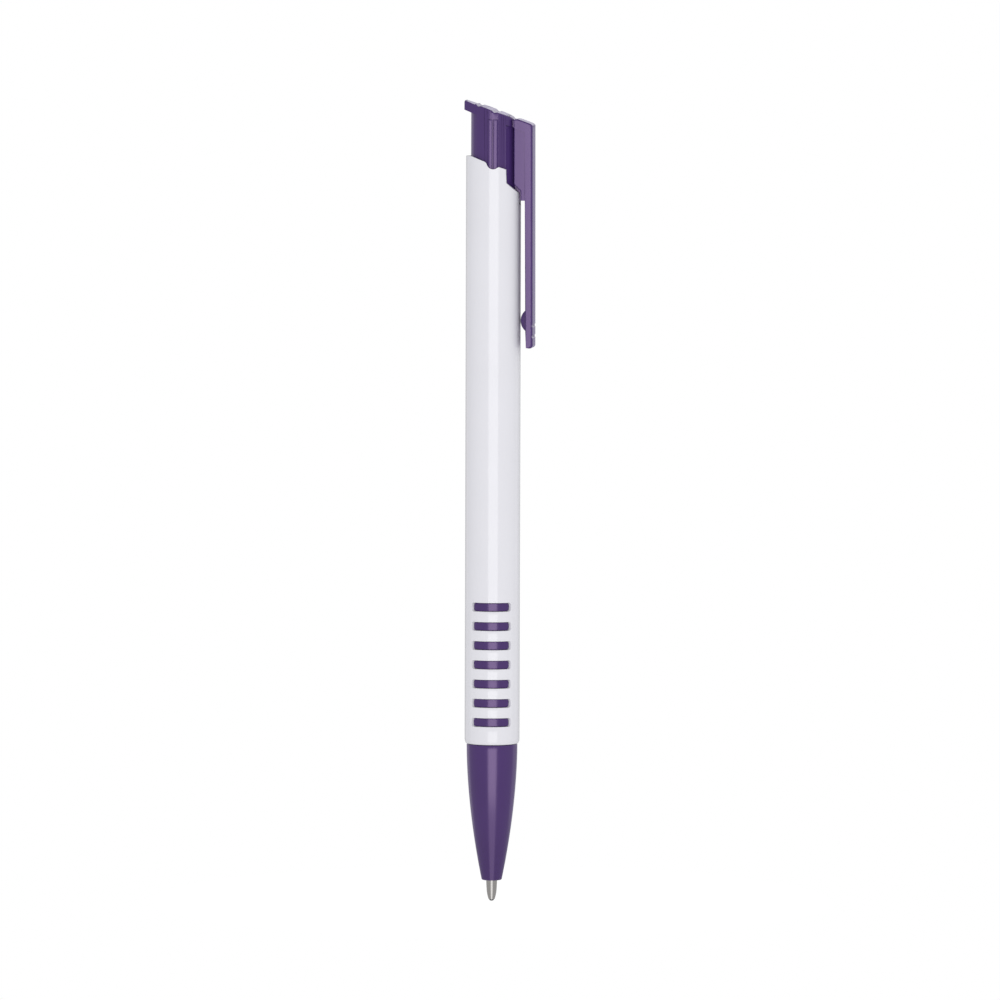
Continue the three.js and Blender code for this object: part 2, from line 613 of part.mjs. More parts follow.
// Push button with its stem, head and clip in one moulding
function pusherClip() {
  const reach = clipFrontX + SPARE;
  const roof = headBackZ + SPARE;
  const floorZ = skirtTopZ - STEM_FLOOR;
  const stemOutline = polygon([[-reach, floorZ], [STEM_FLAT, floorZ],
    [STEM_FLAT, headTopAt(STEM_FLAT)], [-reach, headTopAt(-reach)]]);
  const headOutline = polygon([[-reach, headTopAt(-reach) - HEAD_THICKNESS],
    [reach, headTopAt(reach) - HEAD_THICKNESS], [reach, headTopAt(reach)], [-reach, headTopAt(-reach)]]);
  const round = ring(0, stemRadius, floorZ, roof);
  const stem = round.intersect(sideCut(stemOutline, 2 * reach));
  const head = round.intersect(sideCut(headOutline, 2 * reach));
  const skirt = ring(PLUG_RADIUS + FIT_GAP / 2, stemRadius, stemBottomZ, skirtTopZ);
  const floor = ring(0, stemRadius, floorZ, skirtTopZ);
  const bar = sideCut(barOutline(), CLIP_WIDTH, 6).intersect(planCut(barPlan(), clipEndZ - SPARE, roof, 4));
  const [webInnerX, webOuterX] = [STEM_FLAT - ROOT, clipInnerX - ROOT];
  const web = sideCut(polygon([[webInnerX, webBottomZ], [webOuterX, webBottomZ],
    [webOuterX, headTopAt(webOuterX) - SPARE], [webInnerX, headTopAt(webInnerX) - SPARE]]), WEB_THICKNESS);
  const ribRoof = headTopAt(0) - HEAD_THICKNESS;
  const splitAngle = THREE.MathUtils.radToDeg(RIB_SPLIT / 2 / ribRadius);
  const halfRib = sector(stemRadius - RIB_PROUD, ribRadius,
    stations(splitAngle, ribHalfAngle, () => ribBottomZ, () => ribRoof + RIB_PROUD, 5));
  const ribs = [-1, 1].flatMap((side) => [side * RIB_ANGLE, side * RIB_ANGLE - splitAngle - ribHalfAngle]
    .map((angle) => halfRib.rotate([0, 0, angle])));
  const bumpX = BARREL_RADIUS + RUN_GAP + BUMP_RADIUS;
  const bumpRod = crossRod(bumpX, clipEndZ + BUMP_ABOVE_END, BUMP_RADIUS, BUMP_WIDTH);
  const bump = bumpRod.intersect(block(BARREL_RADIUS, clipInnerX + ROOT, BUMP_WIDTH + SPARE,
    clipEndZ, clipEndZ + 2 * BUMP_ABOVE_END));
  const scallops = Array.from({ length: SCALLOP_COUNT }, (_, i) => {
    const x = SCALLOP_FIRST + i * SCALLOP_PITCH;
    return crossRod(x, headTopAt(x) + SCALLOP_RADIUS - SCALLOP_DEPTH, SCALLOP_RADIUS, 4 * stemRadius);
  });
  const grooves = CLIP_GROOVE_ABOVE_END.map((rise) => {
    const radius = 2 * CLIP_GROOVE_DEPTH;
    return crossRod(clipFrontX + radius - CLIP_GROOVE_DEPTH, clipEndZ + rise, radius, 2 * CLIP_WIDTH, 16);
  });
  return cutAll(addAll(stem, [head, skirt, floor, bar, web, ...ribs, bump]), [...scallops, ...grooves]);
}

// Colours and finishes
const finish = {
  barrel: { color: 0xe6e5ea, roughness: 0.25, metalness: 0 },
  purple: { color: 0x513f6d, roughness: 0.35, metalness: 0 },
  metal: { color: 0xa8a4a1, roughness: 0.25, metalness: 1 },
  ball: { color: 0x55565a, roughness: 0.2, metalness: 1 },
  mechanism: { color: 0xf2f2ee, roughness: 0.5, metalness: 0 },
  tube: { color: 0xd9dbe0, roughness: 0.3, metalness: 0 },
  ink: { color: 0x1c2a6b, roughness: 0.4, metalness: 0 },
  grease: { color: 0xcfc78a, roughness: 0.5, metalness: 0 },
};

const pen = new THREE.Group();

function place(name, solid, look) {
  const mesh = new THREE.Mesh(toGeometry(solid), new THREE.MeshStandardMaterial(finish[look]));
  mesh.name = name;
  pen.add(mesh);
}

place("barrel", barrel(), "barrel");
place("grip_sleeve", gripSleeve(), "purple");
place("nose_cone", noseCone(), "purple");
place("cam_guide", camGuide(), "mechanism");
place("spring", wireSpring(), "metal");
place("pusher_clip", pusherClip(), "purple");
place("plunger", plunger(), "mechanism");
place("cam_rotor", camRotor(), "mechanism");
place("refill_tube", refillTube(), "tube");
place("refill_tip_holder", tipHolder(), "tube");
place("refill_ink", inkColumn(), "ink");
place("refill_follower", greasePlug(), "grease");
place("refill_point", refillPoint(), "metal");
place("writing_ball", writingBall(), "ball");

console.log(`least gap between the spring's curls: ${leastGap(springPath(), WIRE_DIAMETER).toFixed(2)} mm`);

export default pen;
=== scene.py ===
"""Dresses a retractable ballpoint pen: fine shapes, finishes, camera and studio."""

import math

import bmesh
import bpy
from bpy.props import FloatProperty, FloatVectorProperty, IntProperty, PointerProperty
from bpy.types import Operator, Panel, PropertyGroup
from mathutils import Matrix, Vector


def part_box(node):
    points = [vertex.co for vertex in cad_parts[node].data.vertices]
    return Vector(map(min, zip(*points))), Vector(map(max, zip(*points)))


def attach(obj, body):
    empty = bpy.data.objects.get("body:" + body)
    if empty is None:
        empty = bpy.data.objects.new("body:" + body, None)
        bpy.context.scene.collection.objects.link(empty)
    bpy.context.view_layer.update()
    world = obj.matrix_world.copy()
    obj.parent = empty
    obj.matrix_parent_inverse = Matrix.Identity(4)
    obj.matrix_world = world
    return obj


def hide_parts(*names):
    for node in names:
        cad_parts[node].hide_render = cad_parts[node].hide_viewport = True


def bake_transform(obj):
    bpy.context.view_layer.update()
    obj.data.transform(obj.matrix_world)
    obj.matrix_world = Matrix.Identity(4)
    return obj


bl_info = {
    "name": "Retractable ballpoint pen",
    "version": (1, 0, 0),
    "blender": (4, 5, 0),
    "location": "3D View > Sidebar > Pen",
    "description": "Builds the fine shapes and finishes of a click ballpoint pen over its solid model",
    "category": "Object",
}

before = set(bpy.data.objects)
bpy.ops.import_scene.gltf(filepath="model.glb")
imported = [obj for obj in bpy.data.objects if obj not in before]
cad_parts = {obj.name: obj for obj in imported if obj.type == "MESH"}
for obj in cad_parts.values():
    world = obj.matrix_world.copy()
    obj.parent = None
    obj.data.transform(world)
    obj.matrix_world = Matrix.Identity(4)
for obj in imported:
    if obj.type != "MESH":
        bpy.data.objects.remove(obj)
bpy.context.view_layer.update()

MM = 0.001
UP = (0, 0, 1)
MERGE_DISTANCE = 1e-7

# Heights that the solid model gives, in millimetres
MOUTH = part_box("nose_cone")[0][2] / MM
BARREL_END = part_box("barrel")[0][2] / MM
BARREL_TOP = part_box("barrel")[1][2] / MM
HEAD_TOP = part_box("pusher_clip")[1][2] / MM
CLIP_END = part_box("pusher_clip")[0][2] / MM
JOINT = BARREL_END + 0.14

# Slant of the barrel's top and of the button's head
TOP_SLOPE = math.tan(math.radians(20.3))

# Rounding of the barrel's lower end and the flat at the back of its top, in millimetres
END_ROUND_HEIGHT = 0.95
END_ROUND_DEPTH = 0.36
TOP_FLAT = 0.24

# Notch in the barrel for the clip's root, and the slot below it for the web, in millimetres
NOTCH_X = 2.74
NOTCH_KNEE = BARREL_TOP - 4.9
NOTCH_SLOPE = math.tan(math.radians(43.5))
SLOT_FOOT = 123.59

# Button and clip, in millimetres
STEM_RADIUS = 3.96
HEAD_BACK_X = -5.05
HEAD_THICKNESS = 1.72
ROOT_FOOT = 124.34
CLIP_INNER_X = 5.93
CLIP_FRONT_X = 7.18

# Angles round the pen from the clip to the middle of the windows and of the ribs
WINDOW_ANGLE = 86
RIB_ANGLE = 85.4

# Half the angle that a window and a pad take up
WINDOW_HALF_ANGLE = 46
PAD_HALF_ANGLE = 45

# Grid that the barrel and the liner are cut on, and its columns in a window's rounded corner
COLUMNS = 180
COLUMN_ANGLE = 360 / COLUMNS
CORNER_COLUMNS = 3

BALL_RADIUS = 0.5

# Where cutters end past the pen's side and how wide they are, in millimetres
CUTTER_X = 6
CUTTER_WIDTH = 12


# Sizes and colours


def length(name, description, value):
    """A size in metres, given in millimetres."""
    return FloatProperty(name=name, description=description, default=value * MM, unit="LENGTH", precision=5)


def colour(name, description, value):
    """A colour that a user may change."""
    return FloatVectorProperty(
        name=name, description=description, default=value, subtype="COLOR", min=0, max=1
    )


class PenSizes(PropertyGroup):
    """Sizes that the fine shapes are built from."""

    barrel_radius: length("Barrel radius", "Outer radius of the barrel", 4.86)
    barrel_wall: length("Barrel wall", "Wall thickness of the barrel", 0.81)
    edge_round: length("Edge rounding", "Rounding of the barrel's cut edges", 0.05)
    window_count: IntProperty(name="Windows", description="Grip windows in each row", default=7, min=1)
    window_pitch: length("Window pitch", "Distance from one window to the next", 3.408)
    window_height: length("Window height", "Height of a grip window", 1.55)
    window_rise: length("First window", "Height of the lowest window above the barrel's end", 4.14)
    pad_recess: length("Pad recess", "How far the pads lie under the barrel's surface", 0.47)
    nose_radius: length("Nose radius", "Radius of the nose at its top", 4.5)
    nose_taper: length("Nose taper", "How much smaller the nose's radius is at its mouth", 2.76)
    clip_width: length("Clip width", "Width of the clip and of the bar across the head", 4.8)
    clip_edge: length("Clip edge", "Rounding of the clip's front edges", 0.45)
    land_crown: length("Land crown", "How far the lands between the head's grooves stand up", 0.03)
    wire_radius: length("Wire radius", "Radius of the spring's wire", 0.19)


class PenColours(PropertyGroup):
    """Colours of the finishes."""

    shell: colour("Barrel", "White plastic of the barrel", (0.78, 0.77, 0.805))
    trim: colour("Trim", "Purple plastic of the nose, grip, button and clip", (0.057, 0.026, 0.136))
    steel: colour("Steel", "Metal of the point", (0.66, 0.64, 0.62))
    ball: colour("Ball", "Metal of the writing ball", (0.2, 0.2, 0.21))
    natural: colour("Mechanism", "Unpainted plastic of the click mechanism", (0.83, 0.83, 0.78))
    tube: colour("Refill tube", "Clouded plastic of the refill", (0.72, 0.75, 0.78))
    ink: colour("Ink", "Ink in the refill", (0.012, 0.02, 0.14))
    grease: colour("Grease", "Plug that follows the ink", (0.6, 0.54, 0.24))


# Selecting


def clear():
    """Leaves edit mode with nothing selected."""
    if bpy.context.object and bpy.context.object.mode != "OBJECT":
        bpy.ops.object.mode_set(mode="OBJECT")
    bpy.ops.object.select_all(action="DESELECT")


def activate(piece):
    """Makes a piece the active one and the only one selected."""
    clear()
    piece.select_set(True)
    bpy.context.view_layer.objects.active = piece


def edit(piece):
    """Opens a piece for editing with nothing in it selected."""
    activate(piece)
    bpy.ops.object.mode_set(mode="EDIT")
    bpy.ops.mesh.select_mode(type="VERT")
    bpy.ops.mesh.select_all(action="DESELECT")


def pick_all():
    """Selects all of the open piece."""
    bpy.ops.mesh.select_all(action="SELECT")


def pick(piece, kind, test):
    """Selects the open piece's vertices, edges or faces that pass the test, and returns how many."""
    bpy.ops.mesh.select_mode(type=kind)
    mesh = bmesh.from_edit_mesh(piece.data)
    picked = 0
    for part in {"VERT": mesh.verts, "EDGE": mesh.edges, "FACE": mesh.faces}[kind]:
        chosen = test(part)
        part.select_set(chosen)
        picked += chosen
    mesh.select_flush_mode()
    bmesh.update_edit_mesh(piece.data)
    return picked


def pick_verts(piece, test):
    """Selects the vertices whose place passes the test."""
    pick(piece, "VERT", lambda vert: test(vert.co))


def pick_edges(piece, test, sharp=0):
    """Selects the edges whose two ends pass the test and whose faces meet at more than an angle."""
    limit = math.radians(sharp)

    def is_sharp(edge):
        return not sharp or len(edge.link_faces) == 2 and edge.calc_face_angle(0) > limit

    pick(piece, "EDGE", lambda edge: all(test(vert.co) for vert in edge.verts) and is_sharp(edge))


# Shaping


def bisect(place, normal, clear_outer=False, fill=False):
    """Cuts the open piece with a plane."""
    pick_all()
    bpy.ops.mesh.bisect(
        plane_co=place, plane_no=normal, use_fill=fill, clear_outer=clear_outer, threshold=MERGE_DISTANCE
    )


def widen(scale, z=0):
    """Scales what is selected about the pen's axis."""
    bpy.ops.transform.resize(value=(scale, scale, 1), center_override=(0, 0, z))


def outward():
    """Closes seams and turns every face outwards."""
    pick_all()
    bpy.ops.mesh.remove_doubles(threshold=MERGE_DISTANCE)
    bpy.ops.mesh.normals_make_consistent(inside=False)


def outline(name, points):
    """An open line of vertices through the given points, left in edit mode."""
    clear()
    bpy.ops.mesh.primitive_plane_add(size=MM)
    piece = bpy.context.object
    piece.name = name
    edit(piece)
    mesh = bmesh.from_edit_mesh(piece.data)
    mesh.verts.ensure_lookup_table()
    start = mesh.verts[0].co.copy()
    pick_verts(piece, lambda co: (co - start).length > MM / 2)
    bpy.ops.mesh.delete(type="VERT")
    pick_all()
    bpy.ops.transform.translate(value=Vector(points[0]) - start)
    for before, after in zip(points, points[1:]):
        step = Vector(after) - Vector(before)
        bpy.ops.mesh.extrude_vertices_move(TRANSFORM_OT_translate={"value": step})
    return piece


def slab(name, points, depth):
    """A closed outline drawn out along a direction."""
    piece = outline(name, points)
    pick_all()
    bpy.ops.mesh.edge_face_add()
    bpy.ops.mesh.extrude_region_move(TRANSFORM_OT_translate={"value": depth})
    outward()
    clear()
    return piece


def side_slab(name, points, width):
    """A side outline in X and Z, in millimetres, drawn out across the pen."""
    half = width * MM / 2
    return slab(name, [(x * MM, -half, z * MM) for x, z in points], (0, 2 * half, 0))


def plan_slab(name, points, low, high):
    """An outline seen from above in X and Y, in millimetres, drawn up between two heights."""
    return slab(name, [(x * MM, y * MM, low * MM) for x, y in points], (0, 0, (high - low) * MM))


def turned(name, profile, sides):
    """A body of revolution about the pen's axis from [radius, height] pairs in millimetres."""
    piece = outline(name, [(r * MM, 0, z * MM) for r, z in profile])
    pick_all()
    bpy.ops.mesh.spin(steps=sides, angle=2 * math.pi, center=(0, 0, 0), axis=UP)
    outward()
    clear()
    return piece


def rod(name, radius, depth, place, axis="Z", sides=64):
    """A round rod, in millimetres, to join to a piece or to cut from it."""
    clear()
    turns = {"Y": (math.pi / 2, 0, 0), "Z": (0, 0, 0)}
    centre = [c * MM for c in place]
    bpy.ops.mesh.primitive_cylinder_add(
        vertices=sides, radius=radius * MM, depth=depth * MM, location=centre, rotation=turns[axis]
    )
    return settle(name)


def settle(name):
    """Names the piece just added and takes its place and turn into its mesh."""
    piece = bpy.context.object
    piece.name = name
    bpy.ops.object.transform_apply()
    return piece


def turn_about_pen(piece, degrees):
    """Turns a whole piece about the pen's axis."""
    clear()
    piece.data.transform(Matrix.Rotation(math.radians(degrees), 4, "Z"))


def modify(piece, kind, **values):
    """Changes a piece by a modifier with the given values."""
    activate(piece)
    modifier = piece.modifiers.new("change", kind)
    for key, value in values.items():
        setattr(modifier, key, value)
    bpy.ops.object.modifier_apply(modifier=modifier.name)


def merge(piece, other, operation="UNION"):
    """Joins another solid to a piece or cuts it away, and removes the other."""
    modify(piece, "BOOLEAN", operation=operation, solver="EXACT", object=other)
    bpy.data.objects.remove(other)


def cut(piece, other):
    """Cuts another solid from a piece."""
    merge(piece, other, "DIFFERENCE")


def thicken(piece, thickness):
    """Gives an open skin a wall on its inner side."""
    modify(piece, "SOLIDIFY", thickness=thickness, offset=-1, use_even_offset=False)


def round_edges(piece, test, width, segments, sharp=0, clamp=True):
    """Rounds the edges whose ends pass the test."""
    edit(piece)
    pick_edges(piece, test, sharp)
    bpy.ops.mesh.bevel(offset=width, segments=segments, affect="EDGES", clamp_overlap=clamp)
    clear()


def finish_piece(piece, body, material, stands_for):
    """Shades a piece, gives it its material, and ties it to the frame."""
    activate(piece)
    bpy.ops.object.shade_smooth_by_angle(angle=math.radians(30))
    modify(piece, "WEIGHTED_NORMAL", keep_sharp=True)
    piece.data.materials.clear()
    piece.data.materials.append(material)
    if body:
        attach(piece, body)
    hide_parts(stands_for)


# Places on the pen


def polar(co):
    """Radius in millimetres, angle in degrees and height in millimetres of a place."""
    return math.hypot(co.x, co.y) / MM, math.degrees(math.atan2(co.y, co.x)), co.z / MM


def arc(x, y, radius, start, stop, step):
    """Points on an arc about a centre, at whole degrees."""
    angles = [math.radians(a) for a in range(start, stop, step)]
    return [(x + radius * math.cos(a), y + radius * math.sin(a)) for a in angles]


def side_offset(angle):
    """Degrees from the middle of the nearer row of windows."""
    return abs(angle) - WINDOW_ANGLE


def head_top(x):
    """Height of the head's slanted top in millimetres, above a place across the pen."""
    return HEAD_TOP - TOP_SLOPE * (x - HEAD_BACK_X)


def barrel_top(x):
    """Height of the barrel's slanted top in millimetres, above a place across the pen."""
    drop, place = 1.33, -0.49
    return BARREL_TOP - drop - TOP_SLOPE * (x - place)


def notch_floor(x):
    """Height of the slanted floor of the barrel's notch in millimetres."""
    return NOTCH_KNEE - NOTCH_SLOPE * (x - NOTCH_X)


def window_heights(sizes):
    """Middle heights of the grip windows in millimetres."""
    first = BARREL_END + sizes.window_rise / MM
    return [first + i * sizes.window_pitch / MM for i in range(sizes.window_count)]


# Finishes


def node(tree, kind, place, operation=None, **values):
    """A shader node at a place, with its operation, and with input values by name."""
    made = tree.nodes.new("ShaderNode" + kind)
    made.location = place
    if operation:
        made.operation = operation
    for key, value in values.items():
        made.inputs[key.replace("_", " ")].default_value = value
    return made


def join(tree, *wires):
    """Joins sockets, each wire given as a node, its output, a node and its input."""
    for source, output, target, entry in wires:
        tree.links.new(source.outputs[output], target.inputs[entry])


def skin_group():
    """Moulded skin: faint mottling of colour and gloss, and a very fine uneven surface."""
    if "moulded_skin" in bpy.data.node_groups:
        return bpy.data.node_groups["moulded_skin"]
    tree = bpy.data.node_groups.new("moulded_skin", "ShaderNodeTree")
    face = tree.interface
    face.new_socket("Color", in_out="INPUT", socket_type="NodeSocketColor")
    for name, value in (("Mottle", 0.05), ("Gloss", 0.25), ("Gloss Change", 0.06), ("Grain Size", 900.0)):
        socket = face.new_socket(name, in_out="INPUT", socket_type="NodeSocketFloat")
        socket.default_value = value
    for name, kind in (("Color", "Color"), ("Roughness", "Float"), ("Height", "Float")):
        face.new_socket(name, in_out="OUTPUT", socket_type="NodeSocket" + kind)
    inside = tree.nodes.new("NodeGroupInput")
    inside.location = (-900, 0)
    outside = tree.nodes.new("NodeGroupOutput")
    outside.location = (500, 0)
    place = node(tree, "TexCoord", (-900, -300))
    broad = node(tree, "TexNoise", (-600, 150), Scale=140.0, Detail=3.0)
    fine = node(tree, "TexNoise", (-600, -150), Detail=4.0, Roughness=0.6)
    flow = node(tree, "Mapping", (-780, -450), Scale=(700, 700, 30))
    streak = node(tree, "TexNoise", (-600, -450), Scale=1.0, Detail=3.0)
    shade = node(tree, "MapRange", (-380, 250), From_Min=0.3, From_Max=0.7)
    less = node(tree, "Math", (-380, 20), "SUBTRACT")
    less.inputs[0].default_value = 1.0
    swing = node(tree, "Math", (-180, 150), "MULTIPLY_ADD")
    tint = node(tree, "VectorMath", (100, 150), "SCALE")
    gloss = node(tree, "Math", (100, -100), "MULTIPLY_ADD")
    level = node(tree, "Math", (100, -300), "ADD")
    join(
        tree,
        (place, "Object", broad, "Vector"),
        (place, "Object", fine, "Vector"),
        (inside, "Grain Size", fine, "Scale"),
        (place, "Object", flow, "Vector"),
        (flow, "Vector", streak, "Vector"),
        (broad, "Fac", shade, "Value"),
        (inside, "Mottle", less, 1),
        (shade, "Result", swing, 0),
        (inside, "Mottle", swing, 1),
        (less, 0, swing, 2),
        (inside, "Color", tint, 0),
        (swing, 0, tint, "Scale"),
        (tint, "Vector", outside, "Color"),
        (streak, "Fac", gloss, 0),
        (inside, "Gloss Change", gloss, 1),
        (inside, "Gloss", gloss, 2),
        (gloss, 0, outside, "Roughness"),
        (fine, "Fac", level, 0),
        (streak, "Fac", level, 1),
        (level, 0, outside, "Height"),
    )
    return tree


def principled(name, **values):
    """A new material and its shader, with plain values on the shader's own sockets."""
    material = bpy.data.materials.new(name)
    material.use_nodes = True
    shader = material.node_tree.nodes["Principled BSDF"]
    for key, value in values.items():
        shader.inputs[key.replace("_", " ")].default_value = value
    return material, shader


def plastic(name, tone, gloss, mottle=0.05, bump=0.03, grain=900.0, **values):
    """Moulded plastic."""
    if name in bpy.data.materials:
        return bpy.data.materials[name]
    material, shader = principled(name, **values)
    tree = material.node_tree
    skin = tree.nodes.new("ShaderNodeGroup")
    skin.node_tree = skin_group()
    skin.location = (-400, 200)
    for key, value in (("Color", (*tone, 1)), ("Mottle", mottle), ("Gloss", gloss), ("Grain Size", grain)):
        skin.inputs[key].default_value = value
    relief = node(tree, "Bump", (-200, -100), Strength=bump, Distance=0.02 * MM)
    join(
        tree,
        (skin, "Color", shader, "Base Color"),
        (skin, "Roughness", shader, "Roughness"),
        (skin, "Height", relief, "Height"),
        (relief, "Normal", shader, "Normal"),
    )
    return material


def turned_metal(name, tone, gloss, lines, bump):
    """Metal with fine rings from the lathe, or drawn lines, along the pen's axis."""
    material, shader = principled(name, Metallic=1.0)
    tree = material.node_tree
    span = {"From_Min": 0.3, "From_Max": 0.7}
    place = node(tree, "TexCoord", (-1000, 0))
    stretch = node(tree, "Mapping", (-800, 0), Scale=(80, 80, lines))
    rings = node(tree, "TexNoise", (-600, 0), Scale=1.0, Detail=3.0, Roughness=0.6)
    shade = node(tree, "MapRange", (-400, 200), **span, To_Min=0.88, To_Max=1.04)
    tint = node(tree, "VectorMath", (-200, 200), "SCALE")
    tint.inputs[0].default_value = tone
    rough = node(tree, "MapRange", (-400, -50), **span, To_Min=gloss * 0.8, To_Max=gloss * 1.3)
    relief = node(tree, "Bump", (-200, -250), Strength=bump, Distance=0.01 * MM)
    join(
        tree,
        (place, "Object", stretch, "Vector"),
        (stretch, "Vector", rings, "Vector"),
        (rings, "Fac", shade, "Value"),
        (rings, "Fac", rough, "Value"),
        (rings, "Fac", relief, "Height"),
        (shade, "Result", tint, "Scale"),
        (tint, "Vector", shader, "Base Color"),
        (rough, "Result", shader, "Roughness"),
        (relief, "Normal", shader, "Normal"),
    )
    return material


def shell_plastic():
    """White glossy plastic of the barrel."""
    tone = bpy.context.scene.pen_colours.shell
    return plastic("white_gloss_plastic", tone, gloss=0.07, mottle=0.02, bump=0.02, Specular_IOR_Level=0.57)


def trim_plastic():
    """Purple plastic of the nose, the grip, the button and the clip."""
    tone = bpy.context.scene.pen_colours.trim
    shine = {"Specular_IOR_Level": 1.0, "Specular_Tint": (0.9, 0.68, 1, 1)}
    sheen = {"Sheen_Weight": 0.25, "Sheen_Roughness": 0.25, "Sheen_Tint": (0.55, 0.42, 1, 1)}
    return plastic("purple_plastic", tone, gloss=0.17, mottle=0.08, bump=0.06, **shine, **sheen)


# Grid of windows and pads


def tube(name, radius, low, high, turn):
    """An open tube, in metres, whose columns are turned by an angle, left in edit mode."""
    clear()
    centre = (0, 0, (low + high) / 2)
    bpy.ops.mesh.primitive_cylinder_add(
        vertices=COLUMNS, radius=radius, depth=high - low, end_fill_type="NOTHING", location=centre
    )
    piece = settle(name)
    turn_about_pen(piece, turn)
    edit(piece)
    return piece


def window_corner(sizes):
    """Radius of a window's corners in millimetres."""
    return CORNER_COLUMNS * math.radians(COLUMN_ANGLE) * sizes.barrel_radius / MM


def pick_windows(piece, sizes, inside, half):
    """Cuts the open grid at the edges and corners of the windows, and selects the faces within them."""
    middles = window_heights(sizes)
    for middle in middles:
        for side in (-1, 1):
            for k in range(CORNER_COLUMNS + 1):
                z = middle + side * (half - window_corner(sizes) * k / CORNER_COLUMNS)
                bisect((0, 0, z * MM), UP)

    def in_window(face):
        _, angle, z = polar(face.calc_center_median())
        return abs(side_offset(angle)) < inside and any(abs(z - m) < half for m in middles)

    if not pick(piece, "FACE", in_window):
        raise RuntimeError("no grip window was found in " + piece.name)


def round_window_corners(piece, sizes, inside, half):
    """Moves the grid's vertices at each window's corners on to rings that end in an arc."""
    mesh = bmesh.from_edit_mesh(piece.data)
    per_degree = math.radians(1) * sizes.barrel_radius / MM
    corner = window_corner(sizes)
    slack = 1e-4
    for vert in mesh.verts:
        radius, angle, z = polar(vert.co)
        away = side_offset(angle)
        nearest = min(window_heights(sizes), key=lambda m: abs(m - z))
        across = abs(away) * per_degree - (inside * per_degree - corner)
        up = abs(z - nearest) - (half - corner)
        if across < slack or up < slack or max(across, up) > corner + 10 * slack:
            continue
        share = max(across, up) / math.hypot(across, up)
        turn = math.copysign(inside * per_degree - corner + across * share, away) / per_degree
        new_angle = math.radians(math.copysign(WINDOW_ANGLE + turn, angle))
        new_z = nearest + math.copysign(half - corner + up * share, z - nearest)
        vert.co = Vector((radius * math.cos(new_angle), radius * math.sin(new_angle), new_z)) * MM
    bmesh.update_edit_mesh(piece.data)


# Pieces


